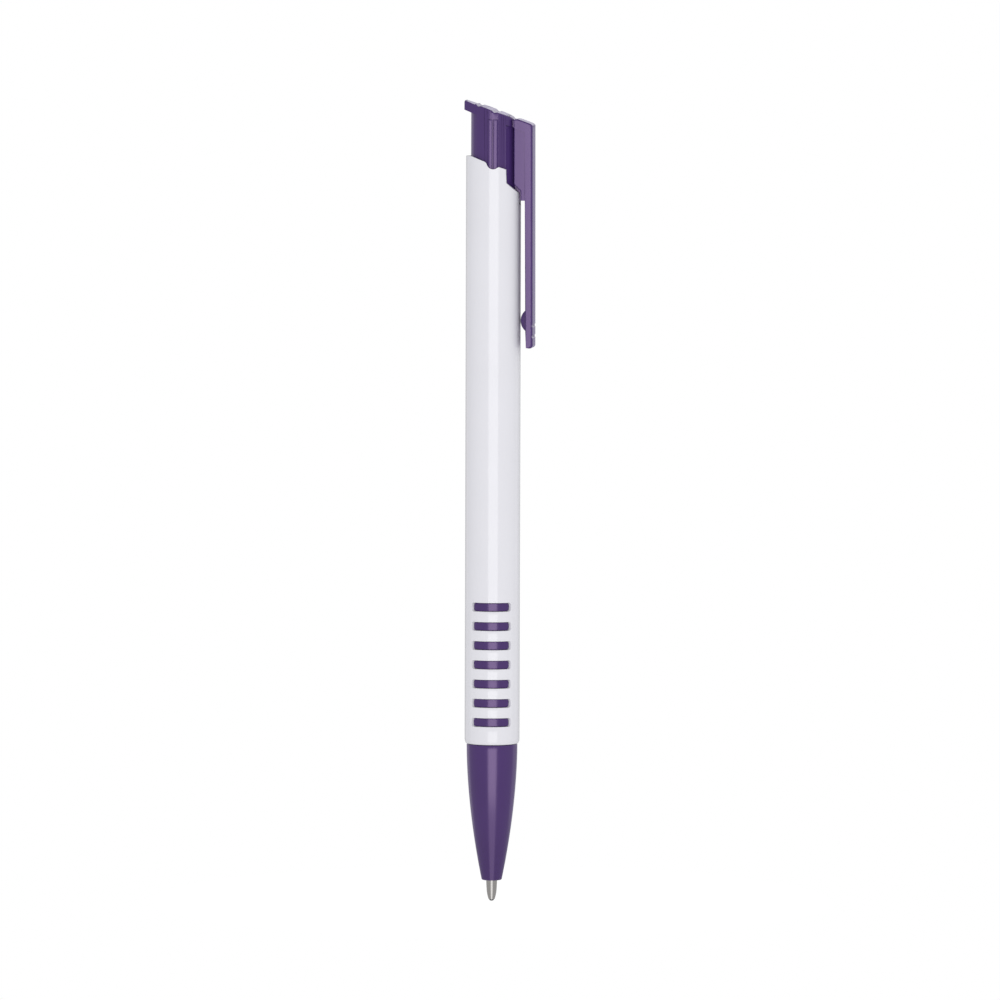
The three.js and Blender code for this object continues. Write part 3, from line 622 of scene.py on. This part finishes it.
class PEN_OT_barrel(Operator):
    """Barrel with its grip windows, the slanted top and the notches for the clip and the ribs"""

    bl_idname = "pen.barrel"
    bl_label = "Barrel"

    def execute(self, context):
        sizes = context.scene.pen_sizes
        bore = sizes.barrel_radius - sizes.barrel_wall
        half = sizes.window_height / MM / 2
        end_rises = [END_ROUND_HEIGHT * share for share in (0.03, 0.1, 0.2, 0.35, 0.55, 0.75, 1)]
        piece = tube("barrel_shell", sizes.barrel_radius, JOINT * MM, (BARREL_TOP + 1) * MM, COLUMN_ANGLE)
        for rise in end_rises:
            bisect((0, 0, (JOINT + rise) * MM), UP)
        pick_windows(piece, sizes, WINDOW_HALF_ANGLE, half)
        bpy.ops.mesh.delete(type="FACE")
        round_window_corners(piece, sizes, WINDOW_HALF_ANGLE, half)
        thicken(piece, sizes.barrel_wall)
        edit(piece)
        self.round_end(piece, sizes.barrel_radius, bore, [0] + end_rises[:-1])
        self.widen_mouth(piece, bore)
        self.slant_top(piece)
        self.cut_notch(piece)
        self.cut_rib_notches(piece, sizes.barrel_radius)
        self.soften(piece, sizes)
        finish_piece(piece, "barrel", shell_plastic(), "barrel")
        return {"FINISHED"}

    def round_end(self, piece, radius, bore, rises):
        """Rounds the outer edge of the lower end."""
        middle = bore / MM + 0.4
        slack = 2e-6
        for rise in rises:
            drop = 1 - rise / END_ROUND_HEIGHT
            at = radius / MM - END_ROUND_DEPTH * (1 - math.sqrt(1 - drop * drop))
            level = (JOINT + rise) * MM
            pick_verts(piece, lambda co: abs(co.z - level) < slack and polar(co)[0] > middle)
            widen(at * MM / radius, level)

    def widen_mouth(self, piece, bore):
        """Widens the bore near the top for the button's stem, and more where its ribs slide."""
        foot, stem_bore, rib_bore, rib_half_angle = 121.65, 4.14, 4.33, 13
        slack = 0.05
        bisect((0, 0, foot * MM), UP)

        def in_bore(co, ribs):
            r, angle, z = polar(co)
            by_ribs = abs(abs(angle) - RIB_ANGLE) < rib_half_angle
            return r < bore / MM + 2 * slack and z > foot - slack and by_ribs == ribs

        for ribs, wide in ((False, stem_bore), (True, rib_bore)):
            pick_verts(piece, lambda co: in_bore(co, ribs))
            widen(wide * MM / bore)

    def slant_top(self, piece):
        """Cuts the top on the slant, with a flat at the back, and closes its rim."""
        bisect((0, 0, barrel_top(0) * MM), Vector((TOP_SLOPE, 0, 1)).normalized(), clear_outer=True)
        bisect((0, 0, (BARREL_TOP - TOP_FLAT) * MM), UP, clear_outer=True)
        bpy.ops.mesh.select_all(action="DESELECT")
        pick(piece, "EDGE", lambda edge: edge.is_boundary)
        bpy.ops.mesh.bridge_edge_loops()
        clear()

    def cut_notch(self, piece):
        """Cuts the notch for the clip's root and the slot for its web."""
        back, slot_back, slot_width = 2.5, 1, 2.3
        front, high = CUTTER_X, BARREL_TOP + 2
        notch = [(NOTCH_X, NOTCH_KNEE), (front, notch_floor(front)), (front, high), (back, high)]
        slot = [(slot_back, SLOT_FOOT), (front, SLOT_FOOT), (front, high), (slot_back, high)]
        cut(piece, side_slab("notch", notch, CUTTER_WIDTH))
        cut(piece, side_slab("slot", slot, slot_width))

    def cut_rib_notches(self, piece, radius):
        """Cuts a round notch for the ribs into each side of the top, with a soft lip on both sides."""
        high = BARREL_TOP + 2
        rim = barrel_top(radius / MM * math.cos(math.radians(RIB_ANGLE)))
        middle, depth, wide = 0.1, 0.8, 1.15
        left = [(-1.5, 0.58), (-1.28, 0.45), (-1.12, 0.28), (-1.03, 0.05)]
        right = [(1, -0.43), (1.15, -0.41), (1.32, -0.46), (1.5, -0.54)]
        curve = [*left, *arc(middle, wide - depth, wide, 200, 313, 14), *right]
        profile = [(left[0][0], high), *((y, rim + z) for y, z in curve), (right[-1][0], high)]
        mirrored = [(-y, z) for y, z in reversed(profile)]
        for side, points in ((-1, mirrored), (1, profile)):
            mouth = slab("mouth", [(y * MM, 0, z * MM) for y, z in points], (0, CUTTER_X * MM, 0))
            turn_about_pen(mouth, side * RIB_ANGLE - 90)
            cut(piece, mouth)

    def soften(self, piece, sizes):
        """Rounds the windows' rims."""
        outer = sizes.barrel_radius / MM - 0.02
        low, high = BARREL_END + 2, BARREL_END + 28

        def rim(co):
            r, _, z = polar(co)
            return r > outer and low < z < high

        round_edges(piece, rim, sizes.edge_round, 2, sharp=50)


class PEN_OT_grip_sleeve(Operator):
    """Purple liner in the barrel whose soft-edged pads fill the windows"""

    bl_idname = "pen.grip_sleeve"
    bl_label = "Grip sleeve"

    def execute(self, context):
        sizes = context.scene.pen_sizes
        low, high = (v[2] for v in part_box("grip_sleeve"))
        outer, wall, gap, edge = 3.97, 0.3, 0.08, 0.07
        half = sizes.window_height / MM / 2 - gap
        crest = (sizes.barrel_radius - sizes.pad_recess) / MM
        piece = tube("grip_liner", outer * MM, low, high, COLUMN_ANGLE / 2)
        pick_windows(piece, sizes, PAD_HALF_ANGLE, half)
        bpy.ops.mesh.extrude_region_move()
        widen(crest / outer)
        round_window_corners(piece, sizes, PAD_HALF_ANGLE, half)
        thicken(piece, wall * MM)
        round_edges(piece, lambda co: polar(co)[0] > crest - 0.01, edge * MM, 3, sharp=50)
        finish_piece(piece, "barrel", trim_plastic(), "grip_sleeve")
        return {"FINISHED"}


class PEN_OT_nose(Operator):
    """Pointed nose with its rounded mouth, spring seat and spigot"""

    bl_idname = "pen.nose"
    bl_label = "Nose"

    def execute(self, context):
        sizes = context.scene.pen_sizes
        gap = 0.1
        mouth = MOUTH + gap
        top = JOINT - gap
        tall = BARREL_END - MOUTH
        belly = 1.82

        def side(z):
            below = max(0, BARREL_END - z) / tall
            return (sizes.nose_radius - sizes.nose_taper * below ** belly) / MM

        lip, bevel, steps = 0.3, 0.12, 28
        first = mouth + lip
        rounding = arc(side(first) - lip, first, lip, -90, -6, 12)
        heights = (first + (top - bevel - first) * i / steps for i in range(steps + 1))
        flank = [(side(z), z) for z in heights]
        shoulder = [(side(top) - 0.04, top - 0.035), (side(top) - bevel, top)]
        inner = self.inner(mouth, top)
        piece = turned("nose_shell", [inner[-1], *rounding, *flank, *shoulder, *inner], 128)
        finish_piece(piece, "barrel", trim_plastic(), "nose_cone")
        return {"FINISHED"}

    def inner(self, mouth, top):
        """Spigot, spring seat and bore, from the shoulder down to the mouth."""
        spigot, spigot_top, cavity, seat_radius, bore = 3.14, 33.94, 2.54, 2, 1.27
        seat = MOUTH + 6
        edge = 0.1
        return [
            (spigot, top), (spigot, spigot_top - edge), (spigot - edge, spigot_top),
            (cavity + edge, spigot_top), (cavity, spigot_top - edge), (cavity, seat + 8),
            (seat_radius, seat + 7.4), (seat_radius, seat), (bore, seat), (bore, mouth + 0.12),
            (bore + edge, mouth),
        ]


class PEN_OT_button_clip(Operator):
    """Push button with its stem, split ribs, slanted head and pocket clip"""

    bl_idname = "pen.button_clip"
    bl_label = "Button and clip"

    def execute(self, context):
        sizes = context.scene.pen_sizes
        piece = self.stem()
        for part in (self.lip(), self.bar(sizes), self.root(), self.gusset(), self.web(), *self.ribs()):
            merge(piece, part)
        merge(piece, self.bump())
        cut(piece, self.top_cutter(sizes))
        radius, depth = 0.35, 0.06
        for rise in (2.11, 4.01):
            place = (CLIP_FRONT_X + radius - depth, 0, CLIP_END + rise)
            cut(piece, rod("groove", radius, CUTTER_WIDTH, place, "Y", 32))
        self.soften(piece)
        finish_piece(piece, "pusher", trim_plastic(), "pusher_clip")
        return {"FINISHED"}

    def stem(self):
        """Round stem with its flat side towards the clip and the socket for the plunger."""
        low, skirt, top = 117.1, 122.4, HEAD_TOP + 1
        radius, step = 3.99, 0.1
        piece = rod("button_and_clip", radius, top - low, (0, 0, (low + top) / 2), sides=144)
        edit(piece)
        bisect((0, 0, (skirt + step) * MM), UP)
        bisect((0, 0, skirt * MM), UP)
        pick_verts(piece, lambda co: co.z < (skirt + step / 2) * MM)
        widen(STEM_RADIUS / radius)
        left, right, corner = 2.49, CUTTER_X, 0.3 * MM
        floor, under = skirt - step / 2, head_top(left) - 1.7
        points = [(left, floor), (right, floor), (right, under - TOP_SLOPE * (right - left)), (left, under)]
        flat = side_slab("flat", points, CUTTER_WIDTH)
        round_edges(flat, lambda co: co.x < (left + step) * MM and co.z > (floor + 1) * MM, corner, 4)
        cut(piece, flat)
        plug, depth, roof = 2.99, 6, 121.8
        cut(piece, rod("socket", plug, depth, (0, 0, roof - depth / 2), sides=96))
        return piece

    def lip(self):
        """Lip behind the head, whose sides run on from the round stem."""
        back, half, thick = HEAD_BACK_X, 1.85, HEAD_THICKNESS + 0.13
        touch = math.atan2(half, back) - math.acos(STEM_RADIUS / math.hypot(back, half))
        side = [(-0.5, 2), (STEM_RADIUS * math.cos(touch), STEM_RADIUS * math.sin(touch))]
        side += [(back + 0.12, half - 0.06), (back + 0.03, half - 0.2), (back, half - 0.4)]
        plan = side + [(x, -y) for x, y in reversed(side)]
        low = head_top(back) - 4
        piece = plan_slab("lip", plan, low, HEAD_TOP + 1)
        left, right = -7, 1
        slanted = [(x, head_top(x) - thick) for x in (right, left)]
        cut(piece, side_slab("under_lip", [(left, low - 1), (right, low - 1), *slanted], CUTTER_WIDTH))
        return piece

    def bar(self, sizes):
        """Bar over the head that turns down into the clip."""
        width, end = sizes.clip_width / MM, CLIP_END
        tall = HEAD_TOP + 1
        high_inner, low_inner = CLIP_INNER_X - 0.2, CLIP_INNER_X + 0.03
        back, low_front, round_end = 3.79, CLIP_FRONT_X + 0.1, 0.55
        points = [
            (back, tall), *((x, head_top(x) - HEAD_THICKNESS) for x in (back, high_inner)),
            (low_inner, end + 3), (low_inner + 0.13, end + 0.1),
            *arc(low_front - round_end, end + round_end, round_end, -90, 1, 15),
            (CLIP_FRONT_X, 137), (CLIP_FRONT_X, tall),
        ]
        piece = side_slab("bar", points, width)
        half = width * MM / 2 - 1e-6

        def at_front(co):
            low_end = co.z < (end + round_end + 0.01) * MM and co.x > (CLIP_INNER_X + 0.2) * MM
            return co.x > (CLIP_FRONT_X - 0.01) * MM or low_end

        def at_inside(co):
            return (high_inner - 0.01) * MM < co.x < (low_inner + 0.14) * MM

        def at_back(co):
            return co.x < (back + 0.01) * MM

        for side in (-1, 1):
            for test, wide in ((at_front, sizes.clip_edge), (at_inside, 0.2 * MM), (at_back, 0.2 * MM)):
                round_edges(piece, lambda co: co.y * side > half and test(co), wide, 3, clamp=False)
        left, right, neck_thick = 2, 4.6, HEAD_THICKNESS - 0.05
        slanted = [(x, head_top(x) - neck_thick) for x in (left, right)]
        merge(piece, side_slab("neck", [(left, tall), *slanted, (right, tall)], 3.5))
        return piece

    def root(self):
        """Block under the head that carries the clip and slides in the barrel's notch."""
        left, step, right, width, lift = 3.84, 5.04, 6.2, 4.5, 0.75
        roof = HEAD_THICKNESS - 0.4
        points = [
            (left, head_top(left) - roof), (left, notch_floor(left) + lift), (step, notch_floor(step) + lift),
            (step, ROOT_FOOT), (right, ROOT_FOOT), (right, head_top(right) - roof),
        ]
        piece = side_slab("root", points, width)
        half, inside, corner = (width / 2 - 0.01) * MM, (step + 0.06) * MM, 0.2 * MM
        round_edges(piece, lambda co: abs(co.y) > half and co.x < inside, corner, 4)
        return piece

    def gusset(self):
        """Slanting faces that run from the stem's flat side to behind the clip's root."""
        back, start, stop, wide, narrow = 2.2, 2.52, 3.92, 3.1, 1.1
        side = [(back, -wide), (start, -wide), (stop, -narrow)]
        plan = side + [(x, -y) for x, y in reversed(side)]
        return plan_slab("gusset", plan, ROOT_FOOT + 0.12, head_top(3.85) - HEAD_THICKNESS + 0.3)

    def web(self):
        """Web that ties the root to the stem and slides in the barrel's slot."""
        back, front, low, high, width = 3.3, 5.6, ROOT_FOOT + 0.06, 130, 1.9
        return side_slab("web", [(back, low), (front, low), (front, high), (back, high)], width)

    def ribs(self):
        """Two flat ribs side by side on each side of the stem, with rounded tops."""
        made = []
        low, top = 122.7, head_top(0) - HEAD_THICKNESS + 0.07
        section = [
            (0.09, 3.6), (0.09, 4.1), (0.13, 4.19), (0.2, 4.235), (0.45, 4.245), (0.7, 4.225), (0.82, 4.16),
            (0.91, 4.03), (0.95, 3.6),
        ]
        ends, outside, corner = (top - 0.01) * MM, 3.7 * MM, 0.13 * MM
        for side in (-1, 1):
            for half in (-1, 1):
                piece = plan_slab("rib", [(r, half * t) for t, r in section], low, top)
                round_edges(piece, lambda co: co.z > ends and co.x > outside, corner, 4)
                turn_about_pen(piece, side * RIB_ANGLE)
                made.append(piece)
        return made

    def bump(self):
        """Rounded bump inside the clip's end that presses on the cloth."""
        radius, width, inmost, rise = 2.4, 3.5, 5.03, 4.88
        piece = rod("bump", radius, width, (inmost + radius, 0, CLIP_END + rise), "Y", 128)
        end, corner = (width / 2 - 0.01) * MM, 0.5 * MM
        for side in (-1, 1):
            round_edges(piece, lambda co: co.y * side > end, corner, 4, sharp=50)
        edit(piece)
        bisect(((CLIP_INNER_X + 0.3) * MM, 0, 0), (1, 0, 0), clear_outer=True, fill=True)
        outward()
        return piece

    def top_cutter(self, sizes):
        """What is cut away above the head: gently crowned lands between three shallow grooves."""
        back, front = HEAD_BACK_X, CLIP_FRONT_X
        grooves = [-2.4, 0.54, 3.8]
        lifts = [-0.19, 0, 0, 0.09]
        wide = 0.46
        dip = [(-wide, 0), (-0.34, -0.06), (-0.2, -0.17), (0, -0.23), (0.2, -0.17), (0.34, -0.06), (wide, 0)]
        crown = sizes.land_crown / MM
        line = []
        starts = [back] + [g + wide for g in grooves]
        ends = [g - wide for g in grooves] + [front]
        steps = 8
        for i, (start, stop) in enumerate(zip(starts, ends)):
            for t in (k / steps for k in range(1, steps)):
                line.append((start + (stop - start) * t, crown * (1 - (2 * t - 1) ** 2) + lifts[i]))
            if i < len(grooves):
                line += [(grooves[i] + x, z) for x, z in dip]
        line = [(back, -0.33), (back + 0.1, -0.23)] + line + [(front - 0.12, 0.04), (front, -0.08)]
        profile = [(x, head_top(x) + z) for x, z in line]
        left, right, high = back - 1, front + 1, HEAD_TOP + 4
        low_left, low_right = profile[0][1] - 0.6, profile[-1][1] - 0.9
        points = [(left, high), (left, low_left), *profile, (right, low_right), (right, high)]
        return side_slab("top_cutter", points, CUTTER_WIDTH)

    def soften(self, piece):
        """Cleans the joined mesh and rounds the edges between the head's top and its sides."""

        def on_top(co):
            return co.z / MM > head_top(co.x / MM) - 0.4

        edit(piece)
        pick_all()
        bpy.ops.mesh.remove_doubles(threshold=0.004 * MM)
        bpy.ops.mesh.dissolve_degenerate(threshold=0.001 * MM)
        bpy.ops.mesh.select_all(action="DESELECT")
        bpy.ops.mesh.select_interior_faces()
        bpy.ops.mesh.delete(type="FACE")
        pick_all()
        bpy.ops.mesh.fill_holes(sides=8)
        edge, middle = 0.24 * MM, 0.05 * MM
        for side in (-1, 1):
            round_edges(piece, lambda co: on_top(co) and co.y * side > middle, edge, 4, sharp=40, clamp=False)


class PEN_OT_point(Operator):
    """Metal writing point with its ball socket, step and shank"""

    bl_idname = "pen.point"
    bl_label = "Writing point"

    def execute(self, context):
        socket, rim_height, steps = 0.53, 0.32, 10
        low, high = -math.asin((BALL_RADIUS - rim_height) / socket), math.radians(50)
        angles = (low + (high - low) * i / steps for i in range(steps + 1))
        cup = [(socket * math.cos(a), BALL_RADIUS + socket * math.sin(a)) for a in angles]
        rim = cup[0][0]
        step, shank, channel, end, bevel = 1.15, 0.85, 0.3, 14, 0.1
        profile = [
            cup[0], (rim + 0.03, 0.31), (rim + 0.07, 0.38), (0.68, 0.8), (0.76, 1.1), (0.83, 1.5),
            (0.885, 2.0), (0.92, 2.6), (0.95, 3.2), (0.96, 3.6), (1.1, 3.95), (step, 4.05), (step, 9.9),
            (step - bevel, 10), (shank, 10), (shank, end - bevel), (shank - bevel, end), (channel, end),
            (channel, 1.03),
            *reversed(cup),
        ]
        piece = turned("writing_point", profile, 64)
        tone = context.scene.pen_colours.steel
        metal = turned_metal("turned_steel", tone, gloss=0.13, lines=9000, bump=0.2)
        finish_piece(piece, "refill", metal, "refill_point")
        return {"FINISHED"}


class PEN_OT_ball(Operator):
    """Ball in the writing point"""

    bl_idname = "pen.ball"
    bl_label = "Writing ball"

    def execute(self, context):
        piece = turned("ball_in_point", arc(0, BALL_RADIUS, BALL_RADIUS, -90, 91, 6), 48)
        tone = context.scene.pen_colours.ball
        metal = turned_metal("polished_ball", tone, gloss=0.14, lines=4000, bump=0.1)
        finish_piece(piece, "ball", metal, "writing_ball")
        return {"FINISHED"}


class PEN_OT_spring(Operator):
    """Return spring round the front of the refill, which shortens with it"""

    bl_idname = "pen.spring"
    bl_label = "Return spring"

    def execute(self, context):
        wire = context.scene.pen_sizes.wire_radius
        low, high = (v[2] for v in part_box("spring"))
        radius, turns, steps, sides = 1.5 * MM, 9, 36, 12
        curl = 0.85 * MM
        pitch = (high - low - 2 * wire - 2 * curl) / (turns - 2)
        clear()
        place, turn = (radius, 0, low + wire), (math.pi / 2, 0, 0)
        bpy.ops.mesh.primitive_circle_add(
            vertices=sides, radius=wire, fill_type="NGON", location=place, rotation=turn
        )
        piece = settle("return_spring")
        edit(piece)
        pick_all()
        for i in range(turns * steps):
            at = i / steps
            rise = (curl if at < 1 or at >= turns - 1 else pitch) / steps
            bpy.ops.mesh.extrude_region_move(TRANSFORM_OT_translate={"value": (0, 0, rise)})
            bpy.ops.transform.rotate(value=2 * math.pi / steps, orient_axis="Z", center_override=(0, 0, 0))
        outward()
        clear()
        steel = turned_metal("spring_wire", (0.55, 0.55, 0.56), gloss=0.25, lines=3000, bump=0.15)
        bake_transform(piece)
        finish_piece(piece, None, steel, "spring")
        return {"FINISHED"}


class PEN_OT_inner_finishes(Operator):
    """Finishes of the click mechanism and the refill, and of the solids that finer pieces replace"""

    bl_idname = "pen.inner_finishes"
    bl_label = "Inner finishes"

    def execute(self, context):
        tones = context.scene.pen_colours
        natural = plastic("natural_plastic", tones.natural, gloss=0.42, mottle=0.06, bump=0.12, grain=1500.0)
        clouded = {"Subsurface_Weight": 0.2, "Subsurface_Scale": 0.5 * MM}
        tube_plastic = plastic("clouded_tube", tones.tube, gloss=0.22, mottle=0.05, bump=0.04, **clouded)
        ink = plastic("ink_paste", tones.ink, gloss=0.12, mottle=0.25, bump=0.1, grain=400.0)
        grease = plastic("follower_grease", tones.grease, gloss=0.3, mottle=0.15, bump=0.1, grain=500.0)
        finishes = (
            (natural, ("cam_guide", "plunger", "cam_rotor")),
            (tube_plastic, ("refill_tube", "refill_tip_holder")),
            (ink, ("refill_ink",)),
            (grease, ("refill_follower",)),
            (shell_plastic(), ("barrel",)),
            (trim_plastic(), ("grip_sleeve", "nose_cone", "pusher_clip")),
        )
        for material, names in finishes:
            for name in names:
                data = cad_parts[name].data
                data.materials.clear()
                data.materials.append(material)
        return {"FINISHED"}


# Floor, light and camera


def backdrop(tree, white, reflected):
    """Where the camera, a reflection or clear plastic sees the backdrop, and how bright it then is."""
    path = node(tree, "LightPath", (-700, 400))
    seen = (path, "Is Camera Ray")
    for i, name in enumerate(("Is Glossy Ray", "Is Transmission Ray")):
        either = node(tree, "Math", (-500 + 160 * i, 400), "MAXIMUM")
        join(tree, (*seen, either, 0), (path, name, either, 1))
        seen = (either, 0)
    level = node(tree, "MapRange", (-300, 150), To_Min=white)
    join(tree, (path, "Is Glossy Ray", level, "Value"), (reflected, 0, level, "To Max"))
    return either, level


class PEN_OT_stage(Operator):
    """Pale floor, soft studio light and the camera"""

    bl_idname = "pen.stage"
    bl_label = "Stage"

    def execute(self, context):
        self.floor()
        self.world(context.scene)
        self.lights()
        self.camera(context.scene)
        context.scene.view_settings.view_transform = "Standard"
        return {"FINISHED"}

    def floor(self):
        """Floor that is white to the camera but keeps a faint shadow."""
        clear()
        radius, sides = 60 * MM, 96
        bpy.ops.mesh.primitive_circle_add(vertices=sides, radius=radius, fill_type="NGON", location=(0, 0, 0))
        floor = bpy.context.object
        floor.name = "floor"
        material, shader = principled("pale_floor", Roughness=0.9, Base_Color=(0.9, 0.9, 0.9, 1))
        tree = material.node_tree
        white, glow_share = 1.07, 0.88
        glow = node(tree, "Emission", (0, -300))
        share = node(tree, "Math", (100, 400), "MULTIPLY")
        share.inputs[1].default_value = glow_share
        mix = node(tree, "MixShader", (300, 0))
        # In reflections the floor glows brighter in a wedge in front: a painted reflection of the softbox on
        # the nose and the point.
        seen, level = backdrop(tree, white, self.painted_floor_glow(tree))
        join(
            tree,
            (level, 0, glow, "Strength"),
            (seen, 0, share, 0),
            (share, 0, mix, "Fac"),
            (shader, "BSDF", mix, 1),
            (glow, "Emission", mix, 2),
            (mix, "Shader", tree.nodes["Material Output"], "Surface"),
        )
        floor.data.materials.append(material)

    def painted_floor_glow(self, tree):
        """Painted reflection: how brightly the floor glows in reflections, 1.2 in a narrow wedge in front
        towards the softbox and falling to 0.4 at its sides and behind, which paints the softbox's highlight
        down the nose and on the point.
        """
        place = node(tree, "TexCoord", (-1500, -100))
        turn = node(tree, "Mapping", (-1300, -100), Rotation=(0, 0, math.radians(-8.5)))
        parts = node(tree, "SeparateXYZ", (-1100, -100))
        slant = node(tree, "Math", (-900, -100), "DIVIDE")
        front = node(tree, "Math", (-700, -100), "ABSOLUTE")
        side = node(tree, "MapRange", (-700, -300), From_Min=0.3, From_Max=0.42, To_Min=1.2, To_Max=0.4)
        ahead = node(tree, "MapRange", (-900, -500), From_Min=-0.001, From_Max=0.001)
        level = node(tree, "MapRange", (-500, -300), To_Max=0.4)
        join(
            tree,
            (place, "Object", turn, "Vector"),
            (turn, "Vector", parts, "Vector"),
            (parts, "X", slant, 0),
            (parts, "Y", slant, 1),
            (slant, 0, front, 0),
            (front, 0, side, "Value"),
            (parts, "Y", ahead, "Value"),
            (ahead, "Result", level, "Value"),
            (side, "Result", level, "To Min"),
        )
        return level

    def world(self, scene):
        """White surroundings for the camera and for reflections, even soft light for the rest."""
        world = bpy.data.worlds.new("studio")
        scene.world = world
        world.use_nodes = True
        tree = world.node_tree
        soft = tree.nodes["Background"]
        soft.inputs["Color"].default_value = (0.97, 0.98, 1, 1)
        soft.inputs["Strength"].default_value = 0.82
        white = node(tree, "Background", (0, -200), Color=(1, 1, 1, 1))
        mix = node(tree, "MixShader", (250, 0))
        seen, level = backdrop(tree, 1.0, self.reflected_world(tree))
        join(
            tree,
            (level, 0, white, "Strength"),
            (seen, 0, mix, "Fac"),
            (soft, "Background", mix, 1),
            (white, "Background", mix, 2),
            (mix, "Shader", tree.nodes["World Output"], "Surface"),
        )

    def reflected_world(self, tree):
        """How bright the world looks in reflections: dim in front, pale behind, brightest above that."""
        way = node(tree, "TexCoord", (-1500, 0))
        parts = node(tree, "SeparateXYZ", (-1300, 0))
        round_pen = node(tree, "ValToRGB", (-1000, 100))
        stops = round_pen.color_ramp.elements
        for place, level in ((0.4, 0.4), (0.6, 0.75), (0.75, 0.5), (0.98, 0.5)):
            stop = stops.new(place)
            stop.color = (level, level, level, 1)
        stops.remove(stops[0])
        stops.remove(stops[-1])
        back = node(tree, "MapRange", (-1000, -200), From_Min=0.5, From_Max=0.8)
        above = node(tree, "MapRange", (-1000, -450), From_Min=0.02, From_Max=0.08, To_Max=0.95)
        high = node(tree, "Math", (-700, -200), "MULTIPLY")
        most = node(tree, "Math", (-500, -100), "MAXIMUM")
        join(
            tree,
            (way, "Generated", parts, "Vector"),
            (parts, "Y", round_pen, "Fac"),
            (parts, "Y", back, "Value"),
            (parts, "Z", above, "Value"),
            (back, "Result", high, 0),
            (above, "Result", high, 1),
            (round_pen, "Color", most, 0),
            (high, 0, most, 1),
        )
        return most

    def lights(self):
        """A softbox behind the camera, which gives the long highlight, and a weak one at the right."""
        clear()
        distance = 2.6
        for name, azimuth, wide, low, high, watts in (
            ("softbox", 8.5, 1.9, -1.3, 0.44, 19.8),
            ("fill", 80, 2.0, -0.9, 1.1, 3.2),
        ):
            turn = math.radians(azimuth)
            place = Vector((math.sin(turn) * distance, -math.cos(turn) * distance, (low + high) / 2))
            bpy.ops.object.light_add(type="AREA", location=place)
            lamp = bpy.context.object
            lamp.name = name
            lamp.data.shape = "RECTANGLE"
            lamp.data.size = wide
            lamp.data.size_y = high - low
            lamp.data.energy = watts
            lamp.rotation_euler = (math.pi / 2, 0, turn)
            lamp.visible_glossy = name == "softbox"

    def camera(self, scene):
        """Camera at the photograph's viewing angle."""
        clear()
        azimuth, elevation, roll = math.radians(7), math.radians(4), math.radians(0.165)
        distance, sensor, frame_height = 2.0, 36, 176.9 * MM
        middle_x, middle_z = 1.3, 71.25
        target = Vector((middle_x * MM, 0, middle_z * MM))
        away = Vector((
            math.sin(azimuth) * math.cos(elevation),
            -math.cos(azimuth) * math.cos(elevation),
            math.sin(elevation),
        ))
        bpy.ops.object.camera_add(location=target + away * distance)
        camera = bpy.context.object
        camera.name = "camera"
        turn = (-away).to_track_quat("-Z", "Y").to_matrix() @ Matrix.Rotation(roll, 3, "Z")
        camera.rotation_euler = turn.to_euler()
        camera.data.sensor_width = sensor
        camera.data.lens = sensor * distance / frame_height
        camera.data.clip_end = 100
        scene.camera = camera


# Panel and start


class PEN_PT_panel(Panel):
    """Sizes, colours and pieces of the pen"""

    bl_label = "Pen"
    bl_idname = "PEN_PT_panel"
    bl_space_type = "VIEW_3D"
    bl_region_type = "UI"
    bl_category = "Pen"

    def draw(self, context):
        for group in (context.scene.pen_sizes, context.scene.pen_colours):
            box = self.layout.box()
            for name in group.__annotations__:
                box.prop(group, name)
        for operator in OPERATORS:
            self.layout.operator(operator.bl_idname)


OPERATORS = (
    PEN_OT_barrel, PEN_OT_grip_sleeve, PEN_OT_nose, PEN_OT_button_clip, PEN_OT_point, PEN_OT_ball,
    PEN_OT_spring, PEN_OT_inner_finishes, PEN_OT_stage,
)
CLASSES = (PenSizes, PenColours, *OPERATORS, PEN_PT_panel)


def register():
    """Adds the classes and their settings."""
    for cls in CLASSES:
        bpy.utils.register_class(cls)
    bpy.types.Scene.pen_sizes = PointerProperty(type=PenSizes)
    bpy.types.Scene.pen_colours = PointerProperty(type=PenColours)


def unregister():
    """Removes them again."""
    del bpy.types.Scene.pen_colours
    del bpy.types.Scene.pen_sizes
    for cls in reversed(CLASSES):
        bpy.utils.unregister_class(cls)


def main():
    """Builds every piece and the stage."""
    register()
    bpy.ops.pen.barrel()
    bpy.ops.pen.grip_sleeve()
    bpy.ops.pen.nose()
    bpy.ops.pen.button_clip()
    bpy.ops.pen.point()
    bpy.ops.pen.ball()
    bpy.ops.pen.spring()
    bpy.ops.pen.inner_finishes()
    bpy.ops.pen.stage()


if __name__ == "__main__":
    main()
